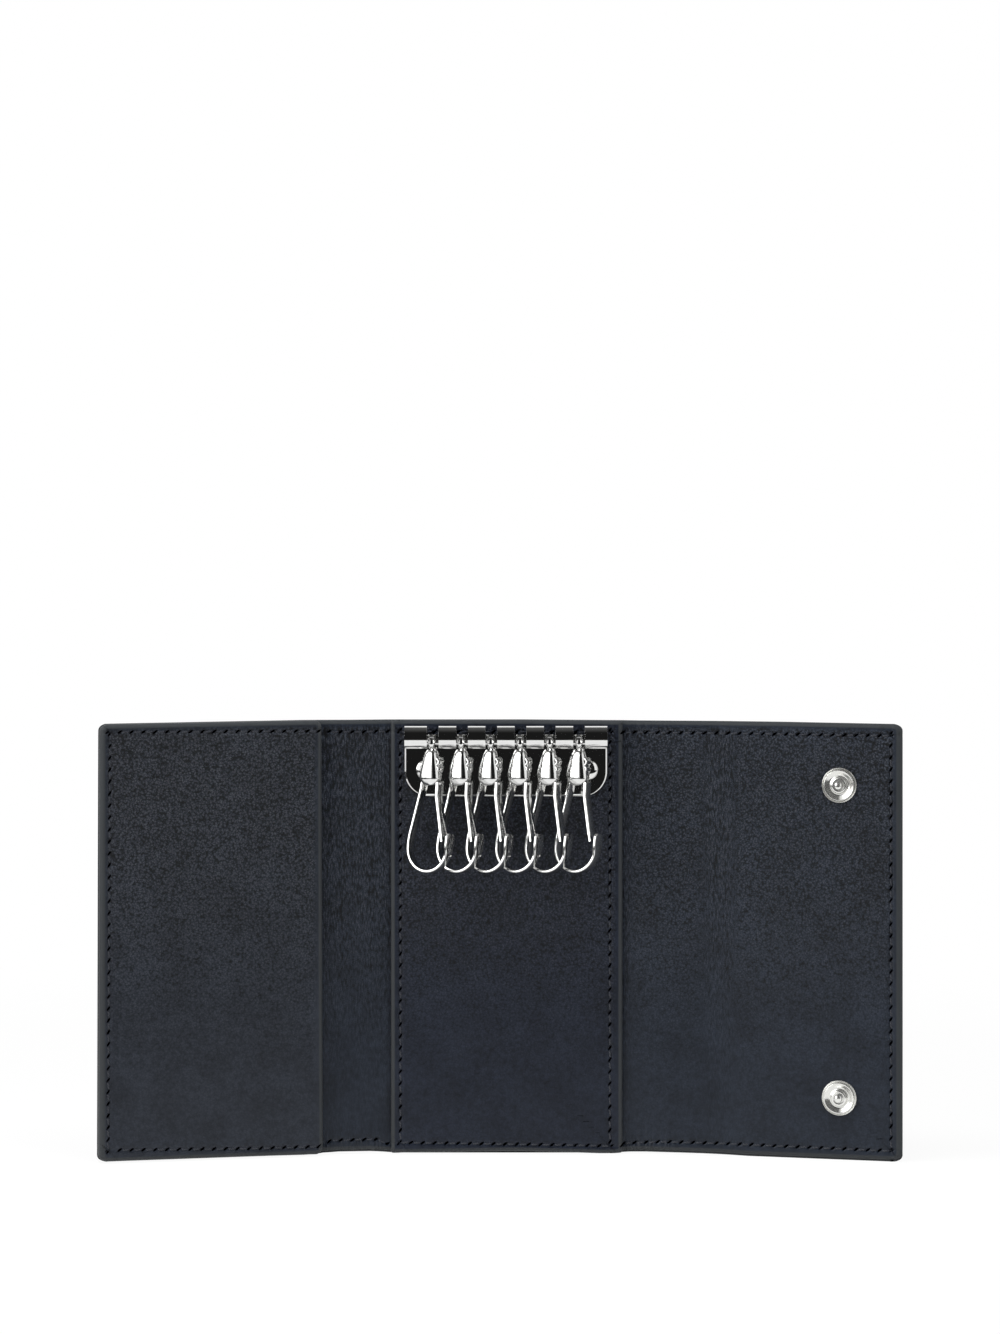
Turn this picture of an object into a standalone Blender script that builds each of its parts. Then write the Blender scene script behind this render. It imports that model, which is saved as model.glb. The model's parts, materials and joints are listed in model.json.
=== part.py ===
# Open folding leather key case with six swinging key hooks, two press snaps and a side pocket.
# It stands open like a folding screen. Units are metres, +Z is up, and -Y is the open inner side.
# The case frame has X = 0 at the middle of the centre panel and Y = 0 on the front of the spines.
from math import atan2, cos, pi, radians, sin

import bmesh
import bpy
from mathutils import Matrix, Vector

# Overall sizes of the leather
CASE_HEIGHT = 0.1100
CENTRE_WIDTH = 0.0580
LEFT_SPINE_WIDTH = 0.0189
LEFT_PANEL_WIDTH = 0.0555
RIGHT_SPINE_WIDTH = 0.0245
RIGHT_FLAP_WIDTH = 0.0474
CORNER_RADIUS = 0.0018
SPINE_SHORTFALL = 0.0004
LINING_INSET = 0.0004
BOARD_INSET = 0.0022

# Thickness of each layer, and the gaps between them
OUTER_LEATHER = 0.0012
SPINE_LINING = 0.0008
CENTRE_OVERLAY = 0.0009
CENTRE_BOARD = 0.0012
PANEL_LINING = 0.0008
PANEL_BOARD = 0.0009
POCKET_LEATHER = 0.0009
POCKET_SLOT = 0.0005
SEAT_GAP = 0.0003
FOLD_GAP = 0.0003

# How far each panel is turned toward the viewer at rest, in degrees from the centre panel
LEFT_SPINE_TURN = 8.0
LEFT_PANEL_TURN = 13.0
RIGHT_SPINE_TURN = 8.0
RIGHT_FLAP_TURN = 14.8

# Key plate: a stamped sheet whose upper edge is cut into tabs, curled round the key bar
PLATE_WIDTH = 0.0520
PLATE_HEIGHT = 0.0180
PLATE_SHEET = 0.00075
PLATE_CORNER = 0.0063
PLATE_TOP_INSET = 0.0007
CURL_RADIUS = 0.0029
CURL_TURN = 295.0
NOTCH_TURN = 45.0
HOOK_COUNT = 6
HOOK_NOTCH = 0.0030
END_TAB_WIDTH = 0.00575
BAR_RADIUS = 0.0006
BAR_DROP = 0.00138
BAR_FORWARD = 0.0003
BAR_END_INSET = 0.0004

# Rivets that fasten the plate to the overlay and its board
RIVET_END_INSET = 0.0053
RIVET_ROW_SHIFT = 0.0005
RIVET_DROP = 0.0113
RIVET_HEAD_RADIUS = 0.00245
RIVET_HEAD_HEIGHT = 0.0006
RIVET_SHANK_RADIUS = 0.0009
RIVET_TAIL_RADIUS = 0.0016
RIVET_TAIL_HEIGHT = 0.0003
BURR_RADIUS = 0.0024
BURR_SHEET = 0.0004

# Hook: an eye on the bar, and a hollow head that turns on the eye's neck
HOOK_TILT = 6.5
HOOK_LEAN = 4.0
HOOK_SWIVEL = 35.0
HOOK_AXIS_SHIFT = 0.0006
EYE_RADIUS = 0.0019
EYE_BORE = 0.00105
EYE_WIDTH = 0.0021
EYE_SOFTENING = 0.0003
NECK_RADIUS = 0.00042
NECK_BUTTON_RADIUS = 0.00075
NECK_BUTTON_HEIGHT = 0.0006
NECK_CLEARANCE = 0.0002
HEAD_TOP = 0.0020
HEAD_LENGTH = 0.0090
HEAD_WIDTH = 0.0054
HEAD_FRONT_DEPTH = 0.00190
HEAD_BACK_DEPTH = 0.00165
HEAD_COLLAR_RADIUS = 0.00095
HEAD_COLLAR_HEIGHT = 0.0006
HEAD_ROOF = 0.0022
HEAD_SLOT_TOP = 0.0046

# Hook loop: one flat spring strip, bent from the head round the bottom to a wider end
STRIP_THICKNESS = 0.0007
STRIP_WIDTH = 0.0025
STRIP_END_WIDTH = 0.0034
STRIP_END_LENGTH = 0.0059
STRIP_SIDE_GAP = 0.0001
ARM_ROOT_OFFSET = 0.00175
ARM_ROOT_COVER = 0.0040
ARM_ROOT_STRAIGHT = 0.0048
ARM_ROOT_BEND = 0.0030
ARM_FLARE = 21.0
ARM_STRAIGHT = 0.0084
ARM_BEND = 0.0163
LOOP_BOTTOM_RADIUS = 0.00595
LOOP_BOTTOM_TURN = 176.0
LOOP_END_STRAIGHT = 0.0030

# Gate: a straight spring tongue that closes the loop from inside
GATE_THICKNESS = 0.0009
GATE_ROOT_OFFSET = 0.00165
GATE_ROOT_COVER = 0.0034
GATE_ROOT_LENGTH = 0.0043
GATE_OVERLAP = 0.0020
GATE_END_GAP = 0.0003
GATE_HEEL = 0.0004

# Press snaps: studs on the flap, sockets on the back of the pocket panel
SNAP_END_INSET = 0.01575
SNAP_EDGE_INSET = 0.0150
STUD_RADIUS = 0.00445
STUD_RING_RADIUS = 0.00325
STUD_FLOOR_HEIGHT = 0.0004
STUD_RING_HEIGHT = 0.0009
STUD_BALL_RADIUS = 0.00145
STUD_WAIST_RADIUS = 0.00115
STUD_TIP_HEIGHT = 0.0024
SNAP_ROUNDING = 0.0003
POST_RADIUS = 0.0009
POST_CLEARANCE = 0.0003
POST_SEAT_DEPTH = 0.0002
FLANGE_RADIUS = 0.0030
FLANGE_SHEET = 0.0004
SOCKET_RADIUS = 0.0043
SOCKET_HEIGHT = 0.0016
SOCKET_STEP_RADIUS = 0.0031
SOCKET_BASE_HEIGHT = 0.0007
SOCKET_BORE = 0.0018
EYELET_RADIUS = 0.0014
EYELET_BORE = 0.0010

# One overrun for every cut
CUT_OVERRUN = 0.0010

# Counts of steps round curves
CORNER_STEPS = 5
PLATE_CORNER_STEPS = 6
CURL_STEP_TURN = 17.0
ROUND_STEPS = 24
EYE_STEPS = 20
NECK_STEPS = 10
HEAD_STEPS = 16
ARC_STEP_TURN = 11.0
NOTCH_STEPS = 3
DOME_STEPS = 4

# Turns between faces, in degrees, above which an edge stays crisp
SHARP_TURN = 35.0
BAR_SHARP_TURN = 50.0
STRIP_SHARP_TURN = 30.0
HEAD_SHARP_TURN = 40.0

# Head outline from collar to rim, as shares of its length, width and depth
HEAD_OUTLINE_SHARES = (
    (0.13, 0.50, 0.62),
    (0.22, 0.66, 0.80),
    (0.40, 0.80, 0.92),
    (0.60, 0.92, 1.00),
    (0.78, 1.00, 1.00),
    (0.90, 0.94, 0.90),
    (1.00, 0.72, 0.66),
)
HEAD_FRONT_SQUARENESS = 3.6
HEAD_BACK_SQUARENESS = 2.6

# Depths worked out from the layers
OUTER_FRONT = SPINE_LINING + SEAT_GAP
OUTER_BACK = OUTER_FRONT + OUTER_LEATHER
BOARD_BACK = OUTER_FRONT - SEAT_GAP
CENTRE_BOARD_FRONT = BOARD_BACK - CENTRE_BOARD
OVERLAY_BACK = CENTRE_BOARD_FRONT - SEAT_GAP
OVERLAY_FRONT = OVERLAY_BACK - CENTRE_OVERLAY
PANEL_BOARD_FRONT = BOARD_BACK - PANEL_BOARD
PANEL_LINING_BACK = PANEL_BOARD_FRONT - SEAT_GAP
PANEL_LINING_FRONT = PANEL_LINING_BACK - PANEL_LINING
POCKET_BACK = PANEL_LINING_FRONT - POCKET_SLOT
POCKET_FRONT = POCKET_BACK - POCKET_LEATHER

# Places worked out from the sizes
FOLD_X = CENTRE_WIDTH / 2 + FOLD_GAP
PLATE_BACK = OVERLAY_FRONT - SEAT_GAP
PLATE_FRONT = PLATE_BACK - PLATE_SHEET
PLATE_TOP = CASE_HEIGHT - PLATE_TOP_INSET
PLATE_BOTTOM = PLATE_TOP - PLATE_HEIGHT
CURL_Y = PLATE_BACK - CURL_RADIUS
CURL_Z = PLATE_TOP - CURL_RADIUS
BAR_Y = CURL_Y - BAR_FORWARD
BAR_Z = CURL_Z - BAR_DROP
RIVET_Z = PLATE_TOP - RIVET_DROP
RIVET_PITCH = PLATE_WIDTH - 2 * RIVET_END_INSET
HOOK_PITCH = (PLATE_WIDTH - HOOK_NOTCH - 2 * END_TAB_WIDTH) / (HOOK_COUNT - 1)
HEAD_RIM = HEAD_TOP + HEAD_LENGTH
SNAP_HEIGHTS = {"upper": CASE_HEIGHT - SNAP_END_INSET, "lower": SNAP_END_INSET}
STUD_X = RIGHT_FLAP_WIDTH - SNAP_EDGE_INSET
SOCKET_X = STUD_X - 2 * FOLD_X

# Colours, roughness and metal share of the finishes
LEATHER = ((0.018, 0.020, 0.028), 0.55, 0.0)
LINING = ((0.020, 0.022, 0.030), 0.60, 0.0)
BOARD = ((0.30, 0.25, 0.19), 0.90, 0.0)
CHROME = ((0.78, 0.78, 0.77), 0.12, 1.0)
STEEL = ((0.62, 0.62, 0.61), 0.25, 1.0)
BRASS = ((0.60, 0.47, 0.24), 0.35, 1.0)


def clear_scene():
    for item in list(bpy.data.objects):
        bpy.data.objects.remove(item, do_unlink=True)


def material(name, finish):
    colour, roughness, metal = finish
    made = bpy.data.materials.new(name + "_finish")
    made.use_nodes = True
    shader = made.node_tree.nodes["Principled BSDF"]
    shader.inputs["Base Color"].default_value = (*colour, 1.0)
    shader.inputs["Roughness"].default_value = roughness
    shader.inputs["Metallic"].default_value = metal
    return made


def axis_empty(name, parent, location, rotation=None):
    made = bpy.data.objects.new(name, None)
    bpy.context.collection.objects.link(made)
    made.parent = parent
    made.location = location
    if rotation is not None:
        made.rotation_euler = rotation.to_euler()
    return made


def place(name, mesh, finish, parent, location=(0, 0, 0)):
    """Make one named piece of a mesh, under the empty that carries it."""
    made = bpy.data.objects.new(name, mesh)
    bpy.context.collection.objects.link(made)
    made.parent = parent
    made.location = location
    made.data.materials.append(None)
    made.material_slots[0].link = "OBJECT"
    made.material_slots[0].material = material(name, finish)
    return made


def mesh_from(name, points, faces, smooth_turn=None):
    made = bpy.data.meshes.new(name)
    made.from_pydata(points, [], faces)
    work = bmesh.new()
    work.from_mesh(made)
    bmesh.ops.recalc_face_normals(work, faces=work.faces)
    work.to_mesh(made)
    work.free()
    if smooth_turn is not None:
        made.shade_smooth()
        made.set_sharp_from_angle(angle=radians(smooth_turn))
    return made


def lofted(name, rings, closed=False, smooth_turn=None):
    """Join rings of equal point counts; an open loft gets a cap at each end."""
    count = len(rings[0])
    points = [point for ring in rings for point in ring]
    faces = []
    spans = len(rings) if closed else len(rings) - 1
    for span in range(spans):
        low = span * count
        high = ((span + 1) % len(rings)) * count
        for step in range(count):
            after = (step + 1) % count
            faces.append((low + step, low + after, high + after, high + step))
    if not closed:
        faces.append(tuple(range(count)))
        faces.append(tuple(range((len(rings) - 1) * count, len(rings) * count)))
    return mesh_from(name, points, faces, smooth_turn)


def turned(name, outline, steps=ROUND_STEPS, closed=False, smooth_turn=SHARP_TURN):
    """Turn (radius, y) points round the Y axis; a radius of zero ends in a pole."""
    points = []
    rows = []
    for radius, depth in outline:
        if radius == 0:
            rows.append([len(points)])
            points.append((0, depth, 0))
            continue
        row = []
        for step in range(steps):
            turn = 2 * pi * step / steps
            row.append(len(points))
            points.append((radius * cos(turn), depth, radius * sin(turn)))
        rows.append(row)
    faces = []
    spans = len(rows) if closed else len(rows) - 1
    for span in range(spans):
        low = rows[span]
        high = rows[(span + 1) % len(rows)]
        for step in range(steps):
            after = (step + 1) % steps
            if len(low) == 1:
                faces.append((low[0], high[step], high[after]))
            elif len(high) == 1:
                faces.append((low[step], low[after], high[0]))
            else:
                faces.append((low[step], low[after], high[after], high[step]))
    return mesh_from(name, points, faces, smooth_turn)


def combined(name, first, second, operation):
    """Boolean two meshes into a new one."""
    base = bpy.data.objects.new(name + "_base", first)
    tool = bpy.data.objects.new(name + "_tool", second)
    for item in (base, tool):
        bpy.context.collection.objects.link(item)
    step = base.modifiers.new("join", "BOOLEAN")
    step.operation = operation
    step.solver = "EXACT"
    step.object = tool
    depsgraph = bpy.context.evaluated_depsgraph_get()
    made = bpy.data.meshes.new_from_object(base.evaluated_get(depsgraph))
    made.name = name
    for item in (base, tool):
        bpy.data.objects.remove(item, do_unlink=True)
    return made


def cut_round(piece, name, places, radius, front, back):
    """Cut round holes through or into a sheet, from front to back in Y."""
    work = bmesh.new()
    depth = back - front
    for x, z in places:
        turn = Matrix.Rotation(pi / 2, 4, "X")
        middle = Matrix.Translation(Vector((x, (front + back) / 2, z)))
        bmesh.ops.create_cone(work, cap_ends=True, segments=ROUND_STEPS, radius1=radius,
                              radius2=radius, depth=depth, matrix=middle @ turn)
    mesh = bpy.data.meshes.new(name)
    work.to_mesh(mesh)
    work.free()
    cutter = bpy.data.objects.new(name, mesh)
    bpy.context.collection.objects.link(cutter)
    cutter.parent = piece.parent
    cutter.hide_render = True
    cutter.display_type = "WIRE"
    step = piece.modifiers.new(name, "BOOLEAN")
    step.operation = "DIFFERENCE"
    step.solver = "EXACT"
    step.object = cutter


def sheet_outline(near, far, low, high, corner):
    """Outline of a sheet from its fold end to its free end, with round free corners."""
    side = 1 if far > near else -1
    points = [(near, high), (near, low)]
    if corner == 0:
        return points + [(far, low), (far, high)]
    for centre_z, start in ((low + corner, -90), (high - corner, 0)):
        for step in range(CORNER_STEPS + 1):
            turn = radians(start + 90 * step / CORNER_STEPS)
            points.append((far + side * corner * (cos(turn) - 1), centre_z + corner * sin(turn)))
    return points


def leather_sheet(name, near, far, front, back, inset, parent, finish, corner=0):
    """A flat layer of leather or board, its ends set in from the case's height."""
    outline = sheet_outline(near, far, inset, CASE_HEIGHT - inset, corner)
    rings = [[(x, depth, z) for x, z in outline] for depth in (front, back)]
    return place(name, lofted(name, rings), finish, parent)


def make_centre(body):
    half = CENTRE_WIDTH / 2
    edge = FOLD_X - FOLD_GAP / 2
    rivets = [(RIVET_ROW_SHIFT + side * RIVET_PITCH / 2, RIVET_Z) for side in (-1, 1)]
    leather_sheet("outer_leather_centre", -edge, edge, OUTER_FRONT, OUTER_BACK, 0, body, LEATHER)
    board = leather_sheet("centre_stiffener", -half + BOARD_INSET, half - BOARD_INSET,
                          CENTRE_BOARD_FRONT, BOARD_BACK, BOARD_INSET, body, BOARD)
    overlay = leather_sheet("centre_overlay", -half, half, OVERLAY_FRONT, OVERLAY_BACK,
                            LINING_INSET, body, LEATHER)
    cut_round(board, "burr_holes", rivets, BURR_RADIUS + SEAT_GAP,
              CENTRE_BOARD_FRONT - CUT_OVERRUN, BOARD_BACK + CUT_OVERRUN)
    cut_round(overlay, "overlay_rivet_holes", rivets, RIVET_SHANK_RADIUS + SEAT_GAP,
              OVERLAY_FRONT - CUT_OVERRUN, OVERLAY_BACK + CUT_OVERRUN)


def make_left_spine(body):
    near = -FOLD_GAP / 2
    far = -LEFT_SPINE_WIDTH + FOLD_GAP / 2
    leather_sheet("outer_leather_left_spine", near, far, OUTER_FRONT, OUTER_BACK,
                  SPINE_SHORTFALL, body, LEATHER)
    leather_sheet("left_spine_lining", near, far, 0, SPINE_LINING,
                  SPINE_SHORTFALL + LINING_INSET, body, LINING)


def make_left_panel(body):
    near = -FOLD_GAP / 2
    far = -LEFT_PANEL_WIDTH
    inner_near = -FOLD_GAP
    inner_far = far + LINING_INSET
    outer = leather_sheet("outer_leather_left_panel", near, far, OUTER_FRONT, OUTER_BACK, 0,
                          body, LEATHER, CORNER_RADIUS)
    board = leather_sheet("left_panel_stiffener", -BOARD_INSET, far + BOARD_INSET,
                          PANEL_BOARD_FRONT, BOARD_BACK, BOARD_INSET, body, BOARD)
    leather_sheet("left_panel_lining", inner_near, inner_far, PANEL_LINING_FRONT,
                  PANEL_LINING_BACK, LINING_INSET, body, LINING, CORNER_RADIUS)
    leather_sheet("pocket_front", inner_near, inner_far, POCKET_FRONT, POCKET_BACK,
                  LINING_INSET, body, LEATHER, CORNER_RADIUS)
    places = [(SOCKET_X, height) for height in SNAP_HEIGHTS.values()]
    cut_round(outer, "eyelet_holes", places, EYELET_RADIUS + POST_CLEARANCE,
              OUTER_FRONT - CUT_OVERRUN, OUTER_BACK + CUT_OVERRUN)
    cut_round(board, "eyelet_flange_holes", places, FLANGE_RADIUS + SEAT_GAP,
              PANEL_BOARD_FRONT - CUT_OVERRUN, BOARD_BACK + CUT_OVERRUN)
    for level, height in SNAP_HEIGHTS.items():
        make_socket(level, (SOCKET_X, 0, height), body)


def make_right_spine(body):
    near = FOLD_GAP / 2
    far = RIGHT_SPINE_WIDTH - FOLD_GAP / 2
    leather_sheet("outer_leather_right_spine", near, far, OUTER_FRONT, OUTER_BACK,
                  SPINE_SHORTFALL, body, LEATHER)
    leather_sheet("right_spine_lining", near, far, 0, SPINE_LINING,
                  SPINE_SHORTFALL + LINING_INSET, body, LINING)


def make_right_flap(body):
    near = FOLD_GAP / 2
    far = RIGHT_FLAP_WIDTH
    outer = leather_sheet("outer_leather_right_flap", near, far, OUTER_FRONT, OUTER_BACK, 0,
                          body, LEATHER, CORNER_RADIUS)
    lining = leather_sheet("right_flap_lining", near, far - LINING_INSET, 0, SPINE_LINING,
                           LINING_INSET, body, LINING, CORNER_RADIUS)
    places = [(STUD_X, height) for height in SNAP_HEIGHTS.values()]
    cut_round(lining, "post_holes", places, POST_RADIUS + POST_CLEARANCE,
              -CUT_OVERRUN, SPINE_LINING + CUT_OVERRUN)
    cut_round(outer, "post_flange_seats", places, FLANGE_RADIUS + SEAT_GAP,
              OUTER_FRONT - CUT_OVERRUN, OUTER_FRONT + FLANGE_SHEET + SEAT_GAP)
    for level, height in SNAP_HEIGHTS.items():
        make_stud(level, (STUD_X, 0, height), body)


def make_stud(level, location, body):
    """A snap stud in front of the flap lining, and the post that holds it from behind."""
    base = -SEAT_GAP
    ring = base - STUD_RING_HEIGHT
    floor = base - STUD_FLOOR_HEIGHT
    tip = base - STUD_TIP_HEIGHT
    ball = tip + STUD_BALL_RADIUS / 2
    seat = base - POST_SEAT_DEPTH
    outline = [
        (0, tip),
        (STUD_BALL_RADIUS * sin(pi / 4), tip + STUD_BALL_RADIUS * (1 - cos(pi / 4)) / 2),
        (STUD_BALL_RADIUS, ball),
        (STUD_WAIST_RADIUS, floor - SNAP_ROUNDING / 2),
        (STUD_RING_RADIUS - SNAP_ROUNDING, floor),
        (STUD_RING_RADIUS, ring + SNAP_ROUNDING),
        (STUD_RING_RADIUS + SNAP_ROUNDING, ring),
        (STUD_RADIUS - SNAP_ROUNDING, ring),
        (STUD_RADIUS, ring + SNAP_ROUNDING),
        (STUD_RADIUS, base),
        (POST_RADIUS + POST_CLEARANCE, base),
        (POST_RADIUS + POST_CLEARANCE, seat),
        (0, seat),
    ]
    place("snap_stud_" + level, turned("snap_stud_" + level, outline), CHROME, body, location)
    flange_back = OUTER_FRONT + FLANGE_SHEET
    post = [
        (0, base + POST_CLEARANCE / 2),
        (POST_RADIUS, base + POST_CLEARANCE / 2),
        (POST_RADIUS, OUTER_FRONT),
        (FLANGE_RADIUS, OUTER_FRONT),
        (FLANGE_RADIUS, flange_back),
        (0, flange_back),
    ]
    place("snap_post_" + level, turned("snap_post_" + level, post), BRASS, body, location)


def make_socket(level, location, body):
    """A snap socket behind the pocket panel, and the eyelet that holds it from inside."""
    base = OUTER_BACK + SEAT_GAP
    top = base + SOCKET_HEIGHT
    step = base + SOCKET_BASE_HEIGHT
    socket = [
        (SOCKET_BORE, base),
        (SOCKET_RADIUS, base),
        (SOCKET_RADIUS, step - SNAP_ROUNDING),
        (SOCKET_RADIUS - SNAP_ROUNDING, step),
        (SOCKET_STEP_RADIUS + SNAP_ROUNDING, step),
        (SOCKET_STEP_RADIUS, top - SNAP_ROUNDING),
        (SOCKET_STEP_RADIUS - SNAP_ROUNDING, top),
        (SOCKET_BORE + SNAP_ROUNDING, top),
        (SOCKET_BORE, top - SNAP_ROUNDING),
    ]
    mesh = turned("snap_socket_" + level, socket, closed=True)
    place("snap_socket_" + level, mesh, CHROME, body, location)
    flange_back = BOARD_BACK
    flange_front = BOARD_BACK - FLANGE_SHEET
    eyelet = [
        (EYELET_BORE, flange_front),
        (FLANGE_RADIUS, flange_front),
        (FLANGE_RADIUS, flange_back),
        (EYELET_RADIUS, flange_back),
        (EYELET_RADIUS, OUTER_BACK),
        (EYELET_BORE, OUTER_BACK),
    ]
    mesh = turned("socket_eyelet_" + level, eyelet, closed=True)
    place("socket_eyelet_" + level, mesh, BRASS, body, location)


def hook_places():
    """X of the middle of each notch, from left to right."""
    return [(number - (HOOK_COUNT - 1) / 2) * HOOK_PITCH for number in range(HOOK_COUNT)]


def plate_columns():
    """X of every edge of the tabs, from left to right."""
    edges = [-PLATE_WIDTH / 2]
    for middle in hook_places():
        edges += [middle - HOOK_NOTCH / 2, middle + HOOK_NOTCH / 2]
    return edges + [PLATE_WIDTH / 2]


def plate_stations():
    """Rows up the sheet: outer and inner (y, z), and the share of the full width there."""
    rows = []
    for step in range(PLATE_CORNER_STEPS + 1):
        turn = pi / 2 * step / PLATE_CORNER_STEPS
        z = PLATE_BOTTOM + PLATE_CORNER * (1 - cos(turn))
        narrowing = 2 * PLATE_CORNER * (1 - sin(turn)) / PLATE_WIDTH
        rows.append(((PLATE_BACK, z), (PLATE_FRONT, z), 1 - narrowing, 0))
    turns = [NOTCH_TURN * step / NOTCH_STEPS for step in range(NOTCH_STEPS + 1)]
    steps = round((CURL_TURN - NOTCH_TURN) / CURL_STEP_TURN)
    turns += [NOTCH_TURN + (CURL_TURN - NOTCH_TURN) * (step + 1) / steps for step in range(steps)]
    inner = CURL_RADIUS - PLATE_SHEET
    for turn in turns:
        across = cos(radians(turn))
        up = sin(radians(turn))
        rows.append(((CURL_Y + CURL_RADIUS * across, CURL_Z + CURL_RADIUS * up),
                     (CURL_Y + inner * across, CURL_Z + inner * up), 1, turn))
    return rows


def plate_mesh():
    """The sheet as a grid of cells, with the notch cells above the notch's foot left out."""
    columns = plate_columns()
    rows = plate_stations()
    points = []
    for outer, inner, share, turn in rows:
        for x in columns:
            points += [(x * share, *outer), (x * share, *inner)]

    def corner(column, row, side):
        return 2 * (row * len(columns) + column) + side

    def filled(column, row):
        if not (0 <= column < len(columns) - 1 and 0 <= row < len(rows) - 1):
            return False
        return column % 2 == 0 or rows[row + 1][3] <= NOTCH_TURN

    faces = []
    for row in range(len(rows) - 1):
        for column in range(len(columns) - 1):
            if not filled(column, row):
                continue
            loop = [(column, row), (column + 1, row), (column + 1, row + 1), (column, row + 1)]
            beside = [(column, row - 1), (column + 1, row), (column, row + 1), (column - 1, row)]
            for side in (0, 1):
                faces.append(tuple(corner(*place_of, side) for place_of in loop))
            for number, neighbour in enumerate(beside):
                if not filled(*neighbour):
                    first = loop[number]
                    second = loop[(number + 1) % 4]
                    faces.append((corner(*first, 0), corner(*second, 0),
                                  corner(*second, 1), corner(*first, 1)))
    used = sorted({index for face in faces for index in face})
    order = {old: new for new, old in enumerate(used)}
    faces = [tuple(order[index] for index in face) for face in faces]
    return mesh_from("key_plate", [points[old] for old in used], faces, SHARP_TURN)


def make_plate(body):
    plate = place("key_plate", plate_mesh(), CHROME, body)
    rivets = [RIVET_ROW_SHIFT + side * RIVET_PITCH / 2 for side in (-1, 1)]
    cut_round(plate, "plate_rivet_holes", [(x, RIVET_Z) for x in rivets],
              RIVET_SHANK_RADIUS + SEAT_GAP, PLATE_FRONT - CUT_OVERRUN, PLATE_BACK + CUT_OVERRUN)
    half = PLATE_WIDTH / 2 - BAR_END_INSET
    rings = []
    for x in (-half, half):
        turns = [2 * pi * step / NECK_STEPS for step in range(NECK_STEPS)]
        rings.append([(x, BAR_RADIUS * cos(turn), BAR_RADIUS * sin(turn)) for turn in turns])
    bar = lofted("key_bar", rings, smooth_turn=BAR_SHARP_TURN)
    place("key_bar", bar, STEEL, body, (0, BAR_Y, BAR_Z))
    for side, x in zip(("left", "right"), rivets):
        make_rivet(side, (x, 0, RIVET_Z), body)


def make_rivet(side, location, body):
    """A domed rivet through the plate and the overlay, and the burr that it is closed over."""
    under_head = PLATE_FRONT - SEAT_GAP
    burr_front = OVERLAY_BACK + SEAT_GAP
    burr_back = burr_front + BURR_SHEET
    tail_front = burr_back + SEAT_GAP / 2
    dome = []
    for step in range(DOME_STEPS + 1):
        turn = pi / 2 * step / DOME_STEPS
        dome.append((RIVET_HEAD_RADIUS * sin(turn), under_head - RIVET_HEAD_HEIGHT * cos(turn)))
    outline = dome + [
        (RIVET_SHANK_RADIUS, under_head),
        (RIVET_SHANK_RADIUS, tail_front),
        (RIVET_TAIL_RADIUS, tail_front),
        (RIVET_TAIL_RADIUS - RIVET_TAIL_HEIGHT, tail_front + RIVET_TAIL_HEIGHT),
        (0, tail_front + RIVET_TAIL_HEIGHT),
    ]
    name = "plate_rivet_" + side
    place(name, turned(name, outline), CHROME, body, location)
    bore = RIVET_SHANK_RADIUS + SEAT_GAP
    burr = [(bore, burr_front), (BURR_RADIUS, burr_front), (BURR_RADIUS, burr_back), (bore, burr_back)]
    name = "rivet_burr_" + side
    place(name, turned(name, burr, closed=True), BRASS, body, location)


def lean():
    """Turn from the eye's frame to the leaning axis that the head turns on."""
    return Matrix.Rotation(radians(HOOK_LEAN), 4, "Y")


def eye_mesh():
    """A soft-edged band round the bar, with a neck and button below it."""
    half = EYE_WIDTH / 2
    soft = half - EYE_SOFTENING
    low = EYE_BORE
    high = EYE_RADIUS
    section = [(low, -soft), (low + EYE_SOFTENING, -half), (high - EYE_SOFTENING, -half),
               (high, -soft), (high, soft), (high - EYE_SOFTENING, half),
               (low + EYE_SOFTENING, half), (low, soft)]
    rings = []
    for radius, x in section:
        turns = [2 * pi * step / EYE_STEPS for step in range(EYE_STEPS)]
        rings.append([(x, radius * cos(turn), radius * sin(turn)) for turn in turns])
    band = lofted("eye_band", rings, closed=True, smooth_turn=SHARP_TURN)
    root = (EYE_BORE + EYE_RADIUS) / 2
    button = HEAD_TOP + HEAD_ROOF + NECK_CLEARANCE
    levels = [(NECK_RADIUS, root), (NECK_RADIUS, button), (NECK_BUTTON_RADIUS, button),
              (NECK_BUTTON_RADIUS, button + NECK_BUTTON_HEIGHT)]
    rings = []
    for radius, drop in levels:
        turns = [2 * pi * step / NECK_STEPS for step in range(NECK_STEPS)]
        rings.append([(radius * cos(turn), radius * sin(turn), -drop) for turn in turns])
    neck = lofted("eye_neck", rings, smooth_turn=SHARP_TURN)
    neck.transform(Matrix.Translation(Vector((HOOK_AXIS_SHIFT, 0, 0))) @ lean())
    return combined("hook_eye", band, neck, "UNION")


def oval(width, front, back, drop):
    """One ring of the head: a squared oval, deeper and squarer in front than behind."""
    ring = []
    for step in range(HEAD_STEPS):
        turn = 2 * pi * (step + 0.5) / HEAD_STEPS
        behind = sin(turn) > 0
        squareness = HEAD_BACK_SQUARENESS if behind else HEAD_FRONT_SQUARENESS
        across = width / 2 * abs(cos(turn)) ** (2 / squareness)
        deep = (back if behind else -front) * abs(sin(turn)) ** (2 / squareness)
        ring.append((across if cos(turn) > 0 else -across, deep, -drop))
    return ring


def circle(radius, drop, steps=HEAD_STEPS):
    turns = [2 * pi * (step + 0.5) / steps for step in range(steps)]
    return [(radius * cos(turn), radius * sin(turn), -drop) for turn in turns]


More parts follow.
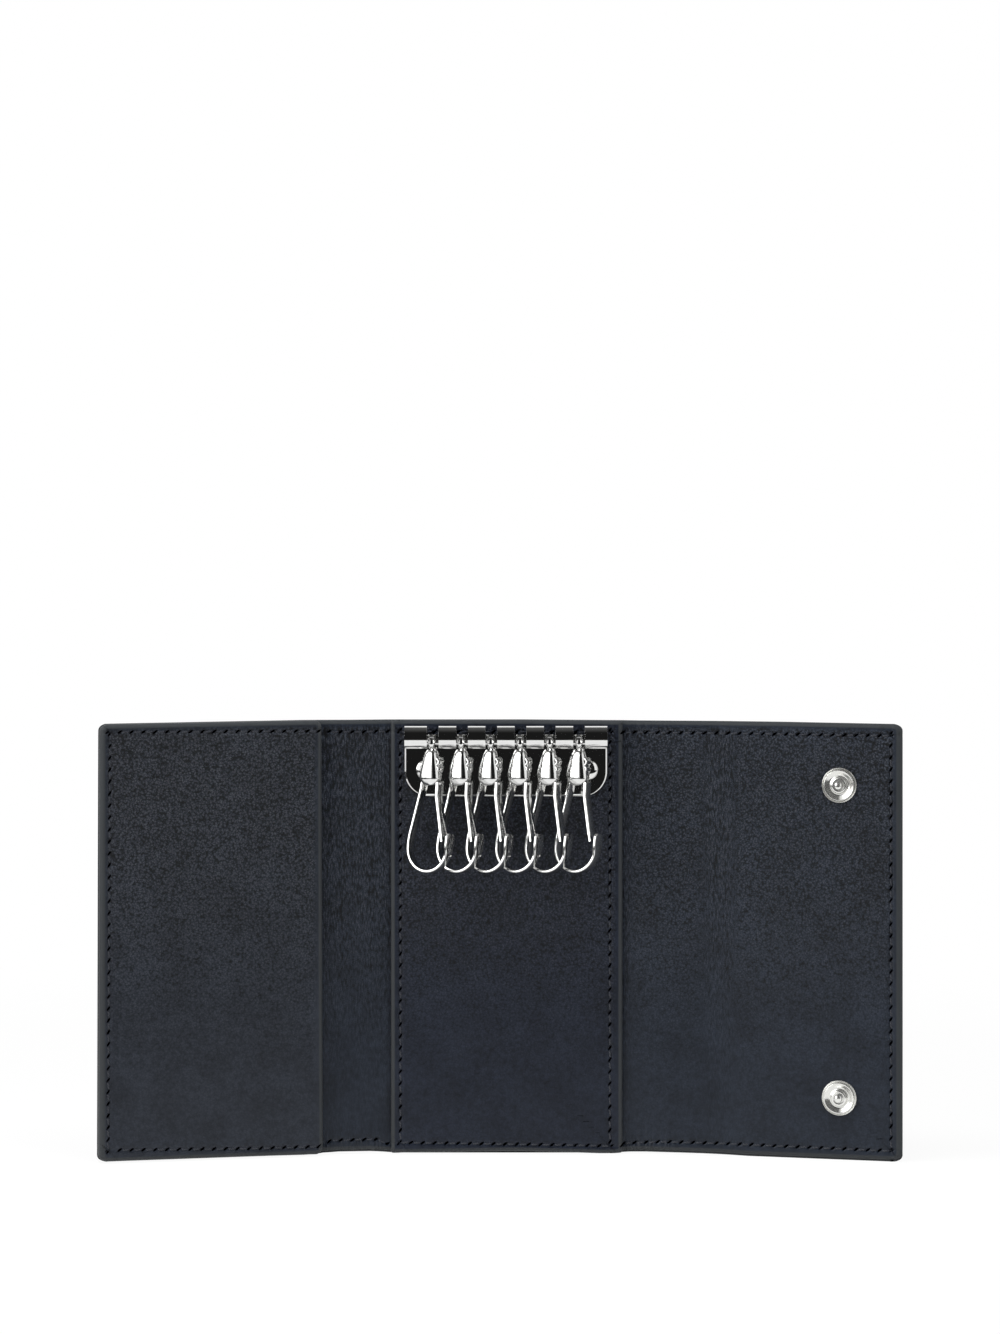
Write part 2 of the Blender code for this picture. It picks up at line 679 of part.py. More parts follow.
def head_mesh():
    """A teardrop of two shells: they meet round the neck's button and hold the strip between."""
    rings = [circle(HEAD_COLLAR_RADIUS, HEAD_TOP),
             circle(HEAD_COLLAR_RADIUS, HEAD_TOP + HEAD_COLLAR_HEIGHT)]
    for down, wide, deep in HEAD_OUTLINE_SHARES:
        rings.append(oval(HEAD_WIDTH * wide, HEAD_FRONT_DEPTH * deep, HEAD_BACK_DEPTH * deep,
                          HEAD_TOP + HEAD_LENGTH * down))
    solid = lofted("head_solid", rings)
    half_width = HEAD_WIDTH / 2 + CUT_OVERRUN
    half_depth = STRIP_WIDTH / 2 + STRIP_SIDE_GAP
    slot_top = HEAD_TOP + HEAD_SLOT_TOP
    rings = []
    for drop in (slot_top, HEAD_RIM + CUT_OVERRUN):
        rings.append([(-half_width, -half_depth, -drop), (half_width, -half_depth, -drop),
                      (half_width, half_depth, -drop), (-half_width, half_depth, -drop)])
    slotted = combined("head_slotted", solid, lofted("head_slot", rings), "DIFFERENCE")
    bore = NECK_RADIUS + NECK_CLEARANCE
    room = NECK_BUTTON_RADIUS + NECK_CLEARANCE
    roof = HEAD_TOP + HEAD_ROOF
    rings = [circle(bore, HEAD_TOP - CUT_OVERRUN, NECK_STEPS), circle(bore, roof, NECK_STEPS),
             circle(room, roof, NECK_STEPS), circle(room, slot_top + NECK_RADIUS, NECK_STEPS)]
    hollow = combined("hook_head", slotted, lofted("head_bore", rings), "DIFFERENCE")
    hollow.shade_smooth()
    hollow.set_sharp_from_angle(angle=radians(HEAD_SHARP_TURN))
    return hollow


class Path:
    """A route in the plane of the loop, walked by straights and bends; drop grows downward."""

    def __init__(self, x, drop, heading):
        self.points = [Vector((x, -drop))]
        self.headings = [radians(heading)]

    def straight(self, length):
        heading = self.headings[-1]
        self.points.append(self.points[-1] + length * Vector((sin(heading), -cos(heading))))
        self.headings.append(heading)

    def bend(self, radius, turn):
        steps = max(2, round(abs(turn) / ARC_STEP_TURN))
        part = radians(turn) / steps
        chord = 2 * radius * sin(abs(part) / 2)
        for _ in range(steps):
            middle = self.headings[-1] + part / 2
            self.points.append(self.points[-1] + chord * Vector((sin(middle), -cos(middle))))
            self.headings.append(self.headings[-1] + part)


def strip_mesh(name, route, thickness, widths):
    """A flat strip along a route, its width square to the plane of the loop."""
    rings = []
    for point, heading, width in zip(route.points, route.headings, widths):
        across = Vector((cos(heading), sin(heading))) * thickness / 2
        ring = []
        for side, depth in ((-1, -1), (1, -1), (1, 1), (-1, 1)):
            corner = point + side * across
            ring.append((corner.x, depth * width / 2, corner.y))
        rings.append(ring)
    return lofted(name, rings, smooth_turn=STRIP_SHARP_TURN)


def loop_route():
    route = Path(-ARM_ROOT_OFFSET, HEAD_RIM - ARM_ROOT_COVER, 0)
    route.straight(ARM_ROOT_STRAIGHT)
    route.bend(ARM_ROOT_BEND, -ARM_FLARE)
    route.straight(ARM_STRAIGHT)
    route.bend(ARM_BEND, ARM_FLARE)
    route.bend(LOOP_BOTTOM_RADIUS, LOOP_BOTTOM_TURN)
    route.straight(LOOP_END_STRAIGHT)
    return route


def loop_mesh():
    """The loop's strip, which widens toward its free end."""
    route = loop_route()
    left = 0
    lengths = [0]
    for before, after in zip(route.points[::-1], route.points[-2::-1]):
        left += (after - before).length
        lengths.append(left)
    widths = []
    for length in reversed(lengths):
        share = min(1, max(0, 2 * (1 - length / STRIP_END_LENGTH)))
        widths.append(STRIP_WIDTH + (STRIP_END_WIDTH - STRIP_WIDTH) * share)
    return strip_mesh("hook_loop", route, STRIP_THICKNESS, widths)


def gate_mesh():
    """The gate's tongue, from the pin in the head's slot to its toe inside the loop's end."""
    end = loop_route().points[-1]
    toe_x = end.x - STRIP_THICKNESS / 2 - GATE_END_GAP - GATE_THICKNESS / 2
    toe = Vector((toe_x, end.y - GATE_OVERLAP)) - gate_pin()
    route = Path(0, -GATE_HEEL, 0)
    route.straight(GATE_HEEL + GATE_ROOT_LENGTH)
    reach = toe - route.points[-1]
    slope = atan2(reach.x, -reach.y)
    route.points.append(toe)
    route.headings[-1] = slope / 2
    route.headings.append(slope)
    return strip_mesh("hook_gate", route, GATE_THICKNESS, [STRIP_WIDTH] * len(route.points))


def gate_pin():
    """The gate's bending place in the plane of the loop."""
    return Vector((GATE_ROOT_OFFSET, -(HEAD_RIM - GATE_ROOT_COVER)))


def make_hooks(body):
    eye = eye_mesh()
    head = head_mesh()
    loop = loop_mesh()
    gate = gate_mesh()
    pin = gate_pin()
    tilt = Matrix.Rotation(radians(-HOOK_TILT), 4, "X")
    turn = lean() @ Matrix.Rotation(radians(-HOOK_SWIVEL), 4, "Z")
    for number, x in enumerate(hook_places(), 1):
        name = "hook_%d" % number
        swing = axis_empty(name + "_swing_axis", body, (x, BAR_Y, BAR_Z), tilt)
        swivel = axis_empty(name + "_swivel_axis", swing, (HOOK_AXIS_SHIFT, 0, 0), turn)
        place(name + "_eye", eye.copy(), STEEL, swing)
        place(name + "_head", head.copy(), CHROME, swivel)
        place(name + "_loop", loop.copy(), CHROME, swivel)
        place(name + "_gate", gate.copy(), CHROME, swivel, (pin.x, 0, pin.y))


def fold(name, parent, x, turn):
    return axis_empty(name, parent, (x, 0, 0), Matrix.Rotation(radians(turn), 4, "Z"))


def rest_on_floor(root):
    """Move the whole case so that the middle of its bottom is at the origin."""
    bpy.context.view_layer.update()
    corners = []
    for item in bpy.data.objects:
        if item.type == "MESH" and not item.hide_render:
            corners += [item.matrix_world @ vertex.co for vertex in item.data.vertices]
    low = [min(corner[axis] for corner in corners) for axis in range(3)]
    high = [max(corner[axis] for corner in corners) for axis in range(3)]
    root.location = (-(low[0] + high[0]) / 2, -(low[1] + high[1]) / 2, -low[2])
    bpy.context.view_layer.update()


def show_axes():
    """Print each joint's place and direction in world metres."""
    for item in bpy.data.objects:
        if item.type == "EMPTY":
            spot = item.matrix_world.translation
            up = item.matrix_world.to_3x3() @ Vector((0, 0, 1))
            print("AXIS", item.name, [round(v, 6) for v in spot], [round(v, 6) for v in up])
        elif item.name.endswith("_gate"):
            spot = item.matrix_world.translation
            across = item.matrix_world.to_3x3() @ Vector((0, 1, 0))
            print("GATE", item.name, [round(v, 6) for v in spot], [round(v, 6) for v in across])


def main():
    clear_scene()
    root = axis_empty("case_root", None, (0, 0, 0))
    make_centre(root)
    make_plate(root)
    make_hooks(root)
    left_spine = fold("left_spine_axis", root, -FOLD_X, LEFT_SPINE_TURN)
    left_panel = fold("left_panel_axis", left_spine, -LEFT_SPINE_WIDTH,
                      LEFT_PANEL_TURN - LEFT_SPINE_TURN)
    right_spine = fold("right_spine_axis", root, FOLD_X, -RIGHT_SPINE_TURN)
    right_flap = fold("right_flap_axis", right_spine, RIGHT_SPINE_WIDTH,
                      RIGHT_SPINE_TURN - RIGHT_FLAP_TURN)
    make_left_spine(left_spine)
    make_left_panel(left_panel)
    make_right_spine(right_spine)
    make_right_flap(right_flap)
    rest_on_floor(root)
    show_axes()


main()
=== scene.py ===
import json
from collections import namedtuple
from math import cos, pi, radians, sin, sqrt

import bmesh
import bpy
import numpy as np
from mathutils import Matrix, Vector


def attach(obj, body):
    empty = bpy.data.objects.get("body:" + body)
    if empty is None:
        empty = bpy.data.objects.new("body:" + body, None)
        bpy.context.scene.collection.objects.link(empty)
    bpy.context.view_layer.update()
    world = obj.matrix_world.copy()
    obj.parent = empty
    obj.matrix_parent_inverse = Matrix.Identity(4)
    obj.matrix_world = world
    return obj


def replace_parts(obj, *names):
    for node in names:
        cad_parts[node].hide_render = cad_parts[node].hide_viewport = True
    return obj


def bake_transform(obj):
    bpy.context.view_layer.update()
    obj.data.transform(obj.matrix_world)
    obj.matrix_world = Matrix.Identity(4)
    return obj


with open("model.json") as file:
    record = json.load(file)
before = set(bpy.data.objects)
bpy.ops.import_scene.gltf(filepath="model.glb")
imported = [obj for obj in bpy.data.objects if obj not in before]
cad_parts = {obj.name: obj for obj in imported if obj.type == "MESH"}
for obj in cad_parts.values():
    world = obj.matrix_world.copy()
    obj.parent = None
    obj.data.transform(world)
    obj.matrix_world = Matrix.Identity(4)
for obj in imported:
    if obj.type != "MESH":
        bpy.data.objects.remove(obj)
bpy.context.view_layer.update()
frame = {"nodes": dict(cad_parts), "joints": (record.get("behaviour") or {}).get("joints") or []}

# Leather sizes; a front or back is how far out that face lies
CASE_HEIGHT = 0.1100
CENTRE_WIDTH = 0.0580
LEFT_SPINE_WIDTH, LEFT_PANEL_WIDTH = 0.0189, 0.0555
RIGHT_SPINE_WIDTH, RIGHT_FLAP_WIDTH = 0.0245, 0.0474
FOLD_GAP = 0.0003
CORNER_RADIUS, OVERLAY_CORNER_RADIUS = 0.0018, 0.0006
PLY_INSET, RIM_INSET = 0.0004, 0.00004
OUTER_FRONT, OUTER_BACK = 0.0011, 0.0023
LINING_FRONT, LINING_BACK = 0.0, 0.0008
PANEL_LINING_FRONT = -0.0012
POCKET_FRONT, POCKET_BACK = -0.0026, -0.0017
OVERLAY_FRONT, OVERLAY_BACK = -0.0016, -0.0007

# How the leather's upper edge stands above the case's height, and its lower edge above the floor,
# as (along, rise)
TOP_RISE = ((-0.1040, 0.00040), (-0.0520, 0.00068), (-0.0400, 0.00061), (0.0040, 0.00064),
            (0.0240, 0.00048), (0.0340, 0.00041), (0.0560, 0.00046), (0.0700, 0.00050), (0.1020, 0.00036))
BOTTOM_RISE = ((-0.0660, 0.0), (-0.0520, -0.00010), (-0.0487, 0.0), (-0.0465, 0.00034),
               (-0.0445, 0.00042), (-0.0425, 0.00054), (-0.0345, 0.00050), (-0.0325, 0.00040),
               (-0.0304, 0.00023), (-0.0280, 0.0), (0.0280, 0.0), (0.0315, 0.00030), (0.0360, 0.00040),
               (0.0450, 0.00033), (0.0500, 0.00028), (0.0560, 0.00017), (0.0620, 0.0), (0.1020, 0.00005))
OVERLAY_RISE = ((-0.0292, 0.00018), (-0.0165, 0.00030), (-0.0065, 0.00050), (0.0040, 0.00060),
                (0.0140, 0.00034), (0.0240, 0.0), (0.0268, 0.0), (0.0300, 0.00025))
# How far the case's two ends flare outward, and over what length
END_FLARE_REACH = 0.0015
LEFT_FLARE_TOP, LEFT_FLARE_BOTTOM, RIGHT_FLARE = 0.0003, 0.0006, 0.0005

# Places along the case
FOLD_SPINE = CENTRE_WIDTH / 2 + FOLD_GAP
FOLD_LEFT_PANEL = -FOLD_SPINE - LEFT_SPINE_WIDTH
FOLD_RIGHT_FLAP = FOLD_SPINE + RIGHT_SPINE_WIDTH
LEFT_END = FOLD_LEFT_PANEL - LEFT_PANEL_WIDTH
RIGHT_END = FOLD_RIGHT_FLAP + RIGHT_FLAP_WIDTH
LEFT_CUT = -FOLD_SPINE - LEFT_SPINE_WIDTH / 2
RIGHT_CUT = FOLD_SPINE + RIGHT_SPINE_WIDTH / 2
LINING_TUCK = 0.0019
OVERLAY_LEFT, OVERLAY_RIGHT = -0.0292, 0.0300
POCKET_MOUTH = FOLD_LEFT_PANEL + 0.0010
MOUTH_REACH, MOUTH_FADE, MOUTH_SPREAD = 0.004, 0.003, 0.0004
MOUTH_CREASE_INSET, MOUTH_CREASE_WIDTH, MOUTH_CREASE_DEPTH = 0.0012, 0.00022, 0.00010
LINING_STEP_END, LINING_STEP_LENGTH = FOLD_LEFT_PANEL + 0.0002, 0.0026

# Folds: the turn at rest in degrees, the length of leather that bends, and the bodies on its two
# sides, the one nearer the centre first
Fold = namedtuple("Fold", "place turn bend inner beyond")
FOLDS = (Fold(FOLD_LEFT_PANEL, 5.0, 0.0060, "left_spine", "left_panel"),
         Fold(-FOLD_SPINE, 8.0, 0.0050, "centre", "left_spine"),
         Fold(FOLD_SPINE, 8.0, 0.0050, "centre", "right_spine"),
         Fold(FOLD_RIGHT_FLAP, 6.8, 0.0150, "right_spine", "right_flap"))
PANEL_FOLD, LEFT_FOLD, RIGHT_FOLD, FLAP_FOLD = FOLDS

# Creases that draw out the grain, as (along, width)
OUTER_CREASES = tuple((fold.place, 0.005) for fold in FOLDS)
LEFT_CREASES = ((FOLD_LEFT_PANEL + 0.004, 0.006), (-FOLD_SPINE - 0.004, 0.008))
RIGHT_CREASES = ((FOLD_SPINE + 0.0012, 0.0022), (FOLD_RIGHT_FLAP + 0.001, 0.0045))

# Seams: stitch length, thread, holes, and how far each seam runs inside its edge
STITCH_PITCH = 0.0030
THREAD_RADIUS, THREAD_FLATNESS, THREAD_SINK, THREAD_SLANT = 0.00024, 0.8, 0.4, 0.00010
THREAD_DIP, THREAD_RISE = 0.00050, 0.00010
THREAD_SHARE = 0.62
SLIT_LENGTH, SLIT_WIDTH, SLIT_SLANT = 0.230, 0.090, radians(36.0)
SLIT_DEPTH = 0.00035
SLIT_CORE, SLIT_EDGE = 0.55, 1.25
GROOVE_DEPTH, GROOVE_WIDTH = 0.00012, 0.00050
TOP_SEAM = ((LEFT_END, 0.0015), (-0.0700, 0.0018), (FOLD_LEFT_PANEL, 0.0020), (-0.0440, 0.0024),
            (-0.0300, 0.0024), (0.0280, 0.0026), (RIGHT_END, 0.0026))
BOTTOM_SEAM = ((LEFT_END, 0.0034), (-0.0650, 0.0025), (FOLD_LEFT_PANEL, 0.0024), (-0.0440, 0.0035),
               (-0.0330, 0.0036), (-0.0298, 0.0023), (-0.0260, 0.0029), (0.0200, 0.0022),
               (0.0288, 0.0019), (0.0310, 0.0026), (0.0400, 0.0031), (RIGHT_END, 0.0028))
LEFT_SEAM_TOP, LEFT_SEAM_BOTTOM = 0.0022, 0.0017
RIGHT_SEAM_INSET = 0.0023
OVERLAY_SEAM_INSET = 0.0023
SEAM_START, SEAM_SPARE, LEFT_SEAM_SPARE = 0.0018, 0.0028, 0.0010
SEAM_GAP, MOUTH_SEAM_INSET = 0.0003, 0.0006
SIDE_SEAM_BOTTOM, SIDE_SEAM_TOP = 0.0030, CASE_HEIGHT - 0.0026

# Grid steps and the rounded rim of the leather meshes
STEP_ALONG = STITCH_PITCH / 10
FINE_STEP, FINE_REACH, COARSE_STEP = 0.00026, 0.0047, 0.0014
RIM_WIDTH, RIM_DEPTH_SHARE = 0.0010, 0.85
RIM_TURNS = (0, 18, 36, 54, 72, 90)
# How the hidden faces of the plies swell toward the rim to meet
SWELL_START, SWELL_REACH = 0.0004, 0.0020
OUTER_SWELL, OVERLAY_SWELL, POCKET_SWELL = 0.00028, 0.00064, 0.00046
OVERLAY_FLAT_END = 0.002
# Slow unevenness of the faces: its lengths along and upward, and the heights of two waves
UNEVEN_ALONG, UNEVEN_UP, UNEVEN_SLOW, UNEVEN_QUICK = 0.019, 0.023, 0.00005, 0.00002
# Puckers of the spines: the spans along the case, each end as (place, fade), and how they fade
# upward from the lower edge and downward from the upper one
PUCKER_HEIGHT, PUCKER_PITCH = 0.00013, 0.00125
PUCKER_SPANS = (((FOLD_LEFT_PANEL + 0.0006, 0.002), (-0.0296, 0.001)),
                ((0.0296, 0.001), (0.0470, 0.010)))
PUCKER_BOTTOM, PUCKER_BOTTOM_FADE = 0.0030, 0.0022
PUCKER_TOP, PUCKER_TOP_FADE, PUCKER_TOP_SHARE = CASE_HEIGHT - 0.0026, 0.0015, 0.45

# Key plate, with a curled edge and a notch for each hook, and its rivets
PLATE_WIDTH, PLATE_HEIGHT, PLATE_SHEET = 0.0520, 0.0180, 0.00075
PLATE_CORNER = 0.0063
PLATE_TOP = CASE_HEIGHT - 0.0007
PLATE_BACK = OVERLAY_FRONT - 0.0003
PLATE_FRONT = PLATE_BACK - PLATE_SHEET
PLATE_ROW_STEP, PLATE_CORNER_STEPS, NOTCH_ROWS, CURL_ROWS = 0.0015, 18, 5, 57
CURL_RADIUS, CURL_TURN, NOTCH_TURN = 0.0029, 295.0, 15.0
HOOK_COUNT, HOOK_PITCH, HOOK_NOTCH = 6, 0.0075, 0.0030
HOOK_MIDDLES = [(number - (HOOK_COUNT - 1) / 2) * HOOK_PITCH for number in range(HOOK_COUNT)]
RIVET_PITCH, RIVET_ROW_SHIFT, RIVET_DROP = 0.0414, 0.0005, 0.0113
RIVET_RADIUS, RIVET_HEIGHT, SHANK_RADIUS = 0.00245, 0.0009, 0.0009
RIVET_SEAT, RIVET_LIP, RIVET_LIP_SHARE, RIVET_STEPS = 0.0001, 0.00008, 0.97, 14
SHANK_END = OVERLAY_BACK + 0.0007
PLATE_DRAW_SHARE, PLATE_SHIFT = 0.9907, 0.00018
CHAMFER_REACH, CHAMFER_DEPTH, PLATE_EDGE_SOFT = 0.00034, 0.00026, 0.00008

# Hooks
HOOK_TILT, HOOK_LEAN, HOOK_SWIVEL = radians(6.5), radians(3.0), radians(35.0)
EYE_RADIUS, EYE_BORE, EYE_WIDTH = 0.00160, 0.00098, 0.0026
EYE_NARROWING, EYE_NARROW_LEVEL, EYE_TURNS, EYE_STEPS = 0.24, 0.2, range(-50, 51, 10), 48
NECK_RADIUS, NECK_STEPS = 0.00042, 24
NECK_PROFILE = ((0.0013, 0.00050), (0.00140, 0.00074), (0.00155, 0.00086), (0.0019, 0.00088),
                (0.0022, 0.00084), (0.0024, 0.00070), (0.0026, NECK_RADIUS), (0.0046, NECK_RADIUS))
HEAD_WIDTH, HEAD_RIM = 0.0054, 0.0110
HEAD_SHIFT, HEAD_FORWARD = 0.00030, 0.00040
HEAD_FRONT_DEPTH, HEAD_BACK_DEPTH = 0.00195, 0.00245
HEAD_SLOT_TOP, HEAD_EDGE_SOFT = 0.0034, 0.00010
SLOT_SPARE, SLOT_CLEARANCE, HEAD_STEPS = 0.001, 0.0001, 64
LIP_START, LIP_END, LIP_DEPTH = 0.0008, 0.0018, 0.0
# The head's outline downward: drop below the bar, shares of its width and of its depth
HEAD_OUTLINE = ((0.00200, 0.32, 0.40), (0.00220, 0.42, 0.50), (0.00255, 0.50, 0.59),
                (0.00300, 0.56, 0.66), (0.00360, 0.62, 0.72), (0.00430, 0.69, 0.79),
                (0.00520, 0.77, 0.86), (0.00630, 0.87, 0.93), (0.00730, 0.94, 0.98),
                (0.00810, 0.985, 1.00), (0.00890, 1.00, 0.985), (0.00915, 0.985, 0.965),
                (0.00935, 0.96, 0.935), (0.00960, 0.92, 0.885), (0.00990, 0.85, 0.815),
                (0.01020, 0.75, 0.73), (0.01050, 0.61, 0.625), (0.01075, 0.46, 0.51),
                (0.01100, 0.27, 0.35))
LEFT_SQUARENESS, RIGHT_SQUARENESS, BACK_SQUARENESS = 4.4, 2.4, 2.5

# The hook's strip, from the head round the loop to its wider end
STRIP_THICKNESS, STRIP_WIDTH, STRIP_BEVEL = 0.0007, 0.0025, 0.00016
STRIP_END_WIDTH, STRIP_END_LENGTH = 0.0034, 0.0059
STRIP_TIP_LENGTH, STRIP_TIP_SHARE = 0.0006, 0.35
LOOP_START = (-0.0022, HEAD_RIM - 0.0016)
LOOP_SPLAY, LOOP_SHOULDER, LOOP_SHOULDER_SHARE, LOOP_BELLY = 13.6, 0.0030, 0.6, 0.0163
LOOP_NECK, LOOP_SIDE, LOOP_END = 0.0024, 0.0106, 0.0041
LOOP_RADIUS, LOOP_TURN = 0.00600, 176.0
SPRING_START, SPRING_RADIUS = (0.0020, 0.0040), 0.00055
SPRING_TURNS = (55.0, -110.0, 110.0, -110.0, 110.0)
SPRING_THICKNESS, SPRING_WIDTH = STRIP_THICKNESS * 0.6, STRIP_WIDTH * 0.9
GATE_THICKNESS, GATE_BEVEL = 0.0009, STRIP_BEVEL * 1.2
GATE_START = (0.00245, HEAD_RIM - 0.0009)
GATE_STRAIGHT, GATE_TOE_DROP, GATE_TOE_CLEARANCE, GATE_STEPS = 0.0035, 0.0020, 0.0011, 8

# Press snaps: places, and outlines as (radius, distance backward), the stud's from the fold lines
# and the socket's from its seat
SNAP_END_INSET, SNAP_EDGE_INSET = 0.01575, 0.01547
STUD_HEIGHTS = {"upper": CASE_HEIGHT - SNAP_END_INSET + 0.0005, "lower": SNAP_END_INSET}
SOCKET_HEIGHTS = {"upper": CASE_HEIGHT - SNAP_END_INSET, "lower": SNAP_END_INSET}
SOCKET_ALONG = FOLD_LEFT_PANEL - 0.0262
STUD_BASE, STUD_SOFT = -0.0002, 0.00008
STUD_OUTLINE = ((0, -0.00265), (0.0005, -0.00257), (0.0009, -0.00232), (0.00112, -0.00195),
                (0.00112, -0.00165), (0.00092, -0.00134), (0.00112, -0.00122), (0.0016, -0.00128),
                (0.0019, -0.00118), (0.00208, -0.00088), (0.0022, -0.00048), (0.0024, -0.00040),
                (0.0028, -0.00052), (0.0034, -0.00080), (0.0037, -0.00094), (0.00382, -0.00090),
                (0.00390, -0.00060), (0.00394, -0.00023), (0.00418, -0.00023), (0.00422, -0.00050),
                (0.00437, -0.00054), (0.00447, -0.00038), (0.00447, STUD_BASE), (0, STUD_BASE))
SOCKET_BACK, SOCKET_SOFT = OUTER_BACK + 0.0001, 0.00028
SOCKET_OUTLINE = ((0.0018, 0), (0.0043, 0), (0.0043, 0.00045), (0.0040, 0.0008), (0.0033, 0.00085),
                  (0.0031, 0.0016), (0.0020, 0.0017), (0.0018, 0.0015), (0.0018, 0))
SNAP_STEPS, SNAP_ROUND_SHARE = 96, 0.45

# Camera: level, before the plate, with the photograph's framing as shift
PHOTO_HEIGHT = 1334
FOCAL_PIXELS, HORIZON_PIXEL = 4515.5, 451.75
CAMERA_HEIGHT, CAMERA_DISTANCE = 0.1790, 1.150
SENSOR = 36.0

# Studio: lamps as name, place, width and height, power, and whether mirrors see them
LAMP_TARGET = (0.0, 0.0, 0.055)
LAMPS = (("left_softbox", (-0.62, -0.34, 0.36), (0.50, 0.55), 3.2, True),
         ("right_softbox", (0.66, -0.50, 0.34), (0.30, 0.50), 1.6, False),
         ("top_softbox", (-0.05, -0.12, 0.46), (0.55, 0.12), 2.2, False))
WORLD_LEVEL = 0.30
FLOOR_HALF, FLOOR_COLOUR, WHITE = 3.0, (0.9, 0.9, 0.9, 1.0), (1, 1, 1, 1)
SHADE_SHARE, SHADE_START, SHADE_END = 0.08, 0.10, 0.45
# Flags stand before the case, lie on the floor and hang above: their ends, heights and tones
FLAG_LEFT, FLAG_SOFT, FLAG_RIGHT = -0.60, -0.34, 0.70
FLAG_NEAR, FLAG_HEIGHT = -0.90, 1.10
FLOOR_FLAG_NEAR, FLOOR_FLAG_LIFT = -0.22, 0.0015
SIDE_FLAG_LEFT, SIDE_FLAG_RIGHT, SIDE_FLAG_FRONT, SIDE_FLAG_BACK = -1.0, -0.26, -0.60, 0.25
TOP_FLAG_END = 0.72
FLAG_TONE, TOP_TONE, FADE_TONE = 0.012, 0.12, 0.9

joint_places = {joint["name"]: Vector(joint["pos_m"]) for joint in frame["joints"]}
CASE_X = joint_places["left_spine_fold"].x + FOLD_SPINE
CASE_Y = joint_places["left_spine_fold"].y


# Meshes

def linked(made):
    bpy.context.scene.collection.objects.link(made)
    return made


def mesh_object(name, points, faces, finish, sharp=None, values=None):
    """A smooth mesh with one finish and stored point values, crisp past an angle in degrees."""
    mesh = bpy.data.meshes.new(name)
    mesh.from_pydata([tuple(point) for point in points], [], [tuple(face) for face in faces])
    mesh.materials.append(finish)
    for label, data in (values or {}).items():
        data = np.asarray(data, np.float32)
        kind, field = ("FLOAT_VECTOR", "vector") if data.ndim == 2 else ("FLOAT", "value")
        mesh.attributes.new(label, kind, "POINT").data.foreach_set(field, data.ravel())
    mesh.shade_smooth()
    if sharp is not None:
        mesh.set_sharp_from_angle(angle=radians(sharp))
    return linked(bpy.data.objects.new(name, mesh))


def outward(made):
    """Turn the faces of a closed piece outward."""
    work = bmesh.new()
    work.from_mesh(made.data)
    bmesh.ops.recalc_face_normals(work, faces=work.faces)
    work.to_mesh(made.data)
    work.free()
    return made


def solid(name, shape, finish, sharp=None):
    """A closed piece from points and faces."""
    return outward(mesh_object(name, *shape, finish, sharp=sharp))


def soften(made, width, angle):
    """Round the crisp edges of a piece."""
    bevel = made.modifiers.new("soft edges", "BEVEL")
    bevel.width = width
    bevel.segments = 2
    bevel.limit_method = "ANGLE"
    bevel.angle_limit = radians(angle)


def circle(steps):
    """Bearings once round."""
    return [2 * pi * step / steps for step in range(steps)]


def loft(rings, closed=False):
    """Points and faces of a tube through rings of equal counts, with ends unless it is closed."""
    count = len(rings[0])
    points = [tuple(point) for ring in rings for point in ring]
    faces = []
    for span in range(len(rings) if closed else len(rings) - 1):
        low, high = span * count, ((span + 1) % len(rings)) * count
        for step in range(count):
            after = (step + 1) % count
            faces.append((low + step, low + after, high + after, high + step))
    if not closed:
        faces.append(tuple(reversed(range(count))))
        faces.append(tuple(range((len(rings) - 1) * count, len(rings) * count)))
    return points, faces


def joined(*shapes):
    """Points and faces of several shapes in one."""
    points, faces = [], []
    for more, links in shapes:
        faces += [tuple(index + len(points) for index in link) for link in links]
        points += more
    return points, faces


def revolve(profile, steps=72, closed=False):
    """Points and faces of (radius, y) points turned round the Y axis; radius zero is a pole."""
    points, rows, faces = [], [], []
    for radius, y in profile:
        turns = circle(steps) if radius else [0.0]
        rows.append(list(range(len(points), len(points) + len(turns))))
        points += [(radius * cos(turn), y, radius * sin(turn)) for turn in turns]
    for span in range(len(rows) if closed else len(rows) - 1):
        low, high = rows[span], rows[(span + 1) % len(rows)]
        for step in range(steps):
            after = (step + 1) % steps
            if len(low) == 1:
                faces.append((low[0], high[after], high[step]))
            elif len(high) == 1:
                faces.append((low[step], low[after], high[0]))
            else:
                faces.append((low[step], low[after], high[after], high[step]))
    return points, faces


def smooth_share(value):
    value = np.clip(value, 0.0, 1.0)
    return value * value * (3 - 2 * value)


def peak(offset, width):
    """1 where the offset is nothing, falling away on both sides."""
    return np.exp(-(offset / width) ** 2)


# The line of the leather, seen from above

LINE_STEP, LINE_SPARE = 0.0001, 0.005
line_along = np.arange(LEFT_END - LINE_SPARE, RIGHT_END + LINE_SPARE, LINE_STEP)
line_heading = np.zeros_like(line_along)
for crossed in FOLDS:
    past = smooth_share((line_along - crossed.place) / crossed.bend + 0.5)
    line_heading -= radians(crossed.turn) * (past - (crossed.place < 0))


def walked(share):
    """How far the line has come on one axis, from its share of each step."""
    return np.concatenate([[0], np.cumsum((share[1:] + share[:-1]) / 2)]) * LINE_STEP


line_x, line_y = walked(np.cos(line_heading)), walked(np.sin(line_heading))
line_x += CASE_X - np.interp(0.0, line_along, line_x)
line_y += CASE_Y - np.interp(0.0, line_along, line_y)


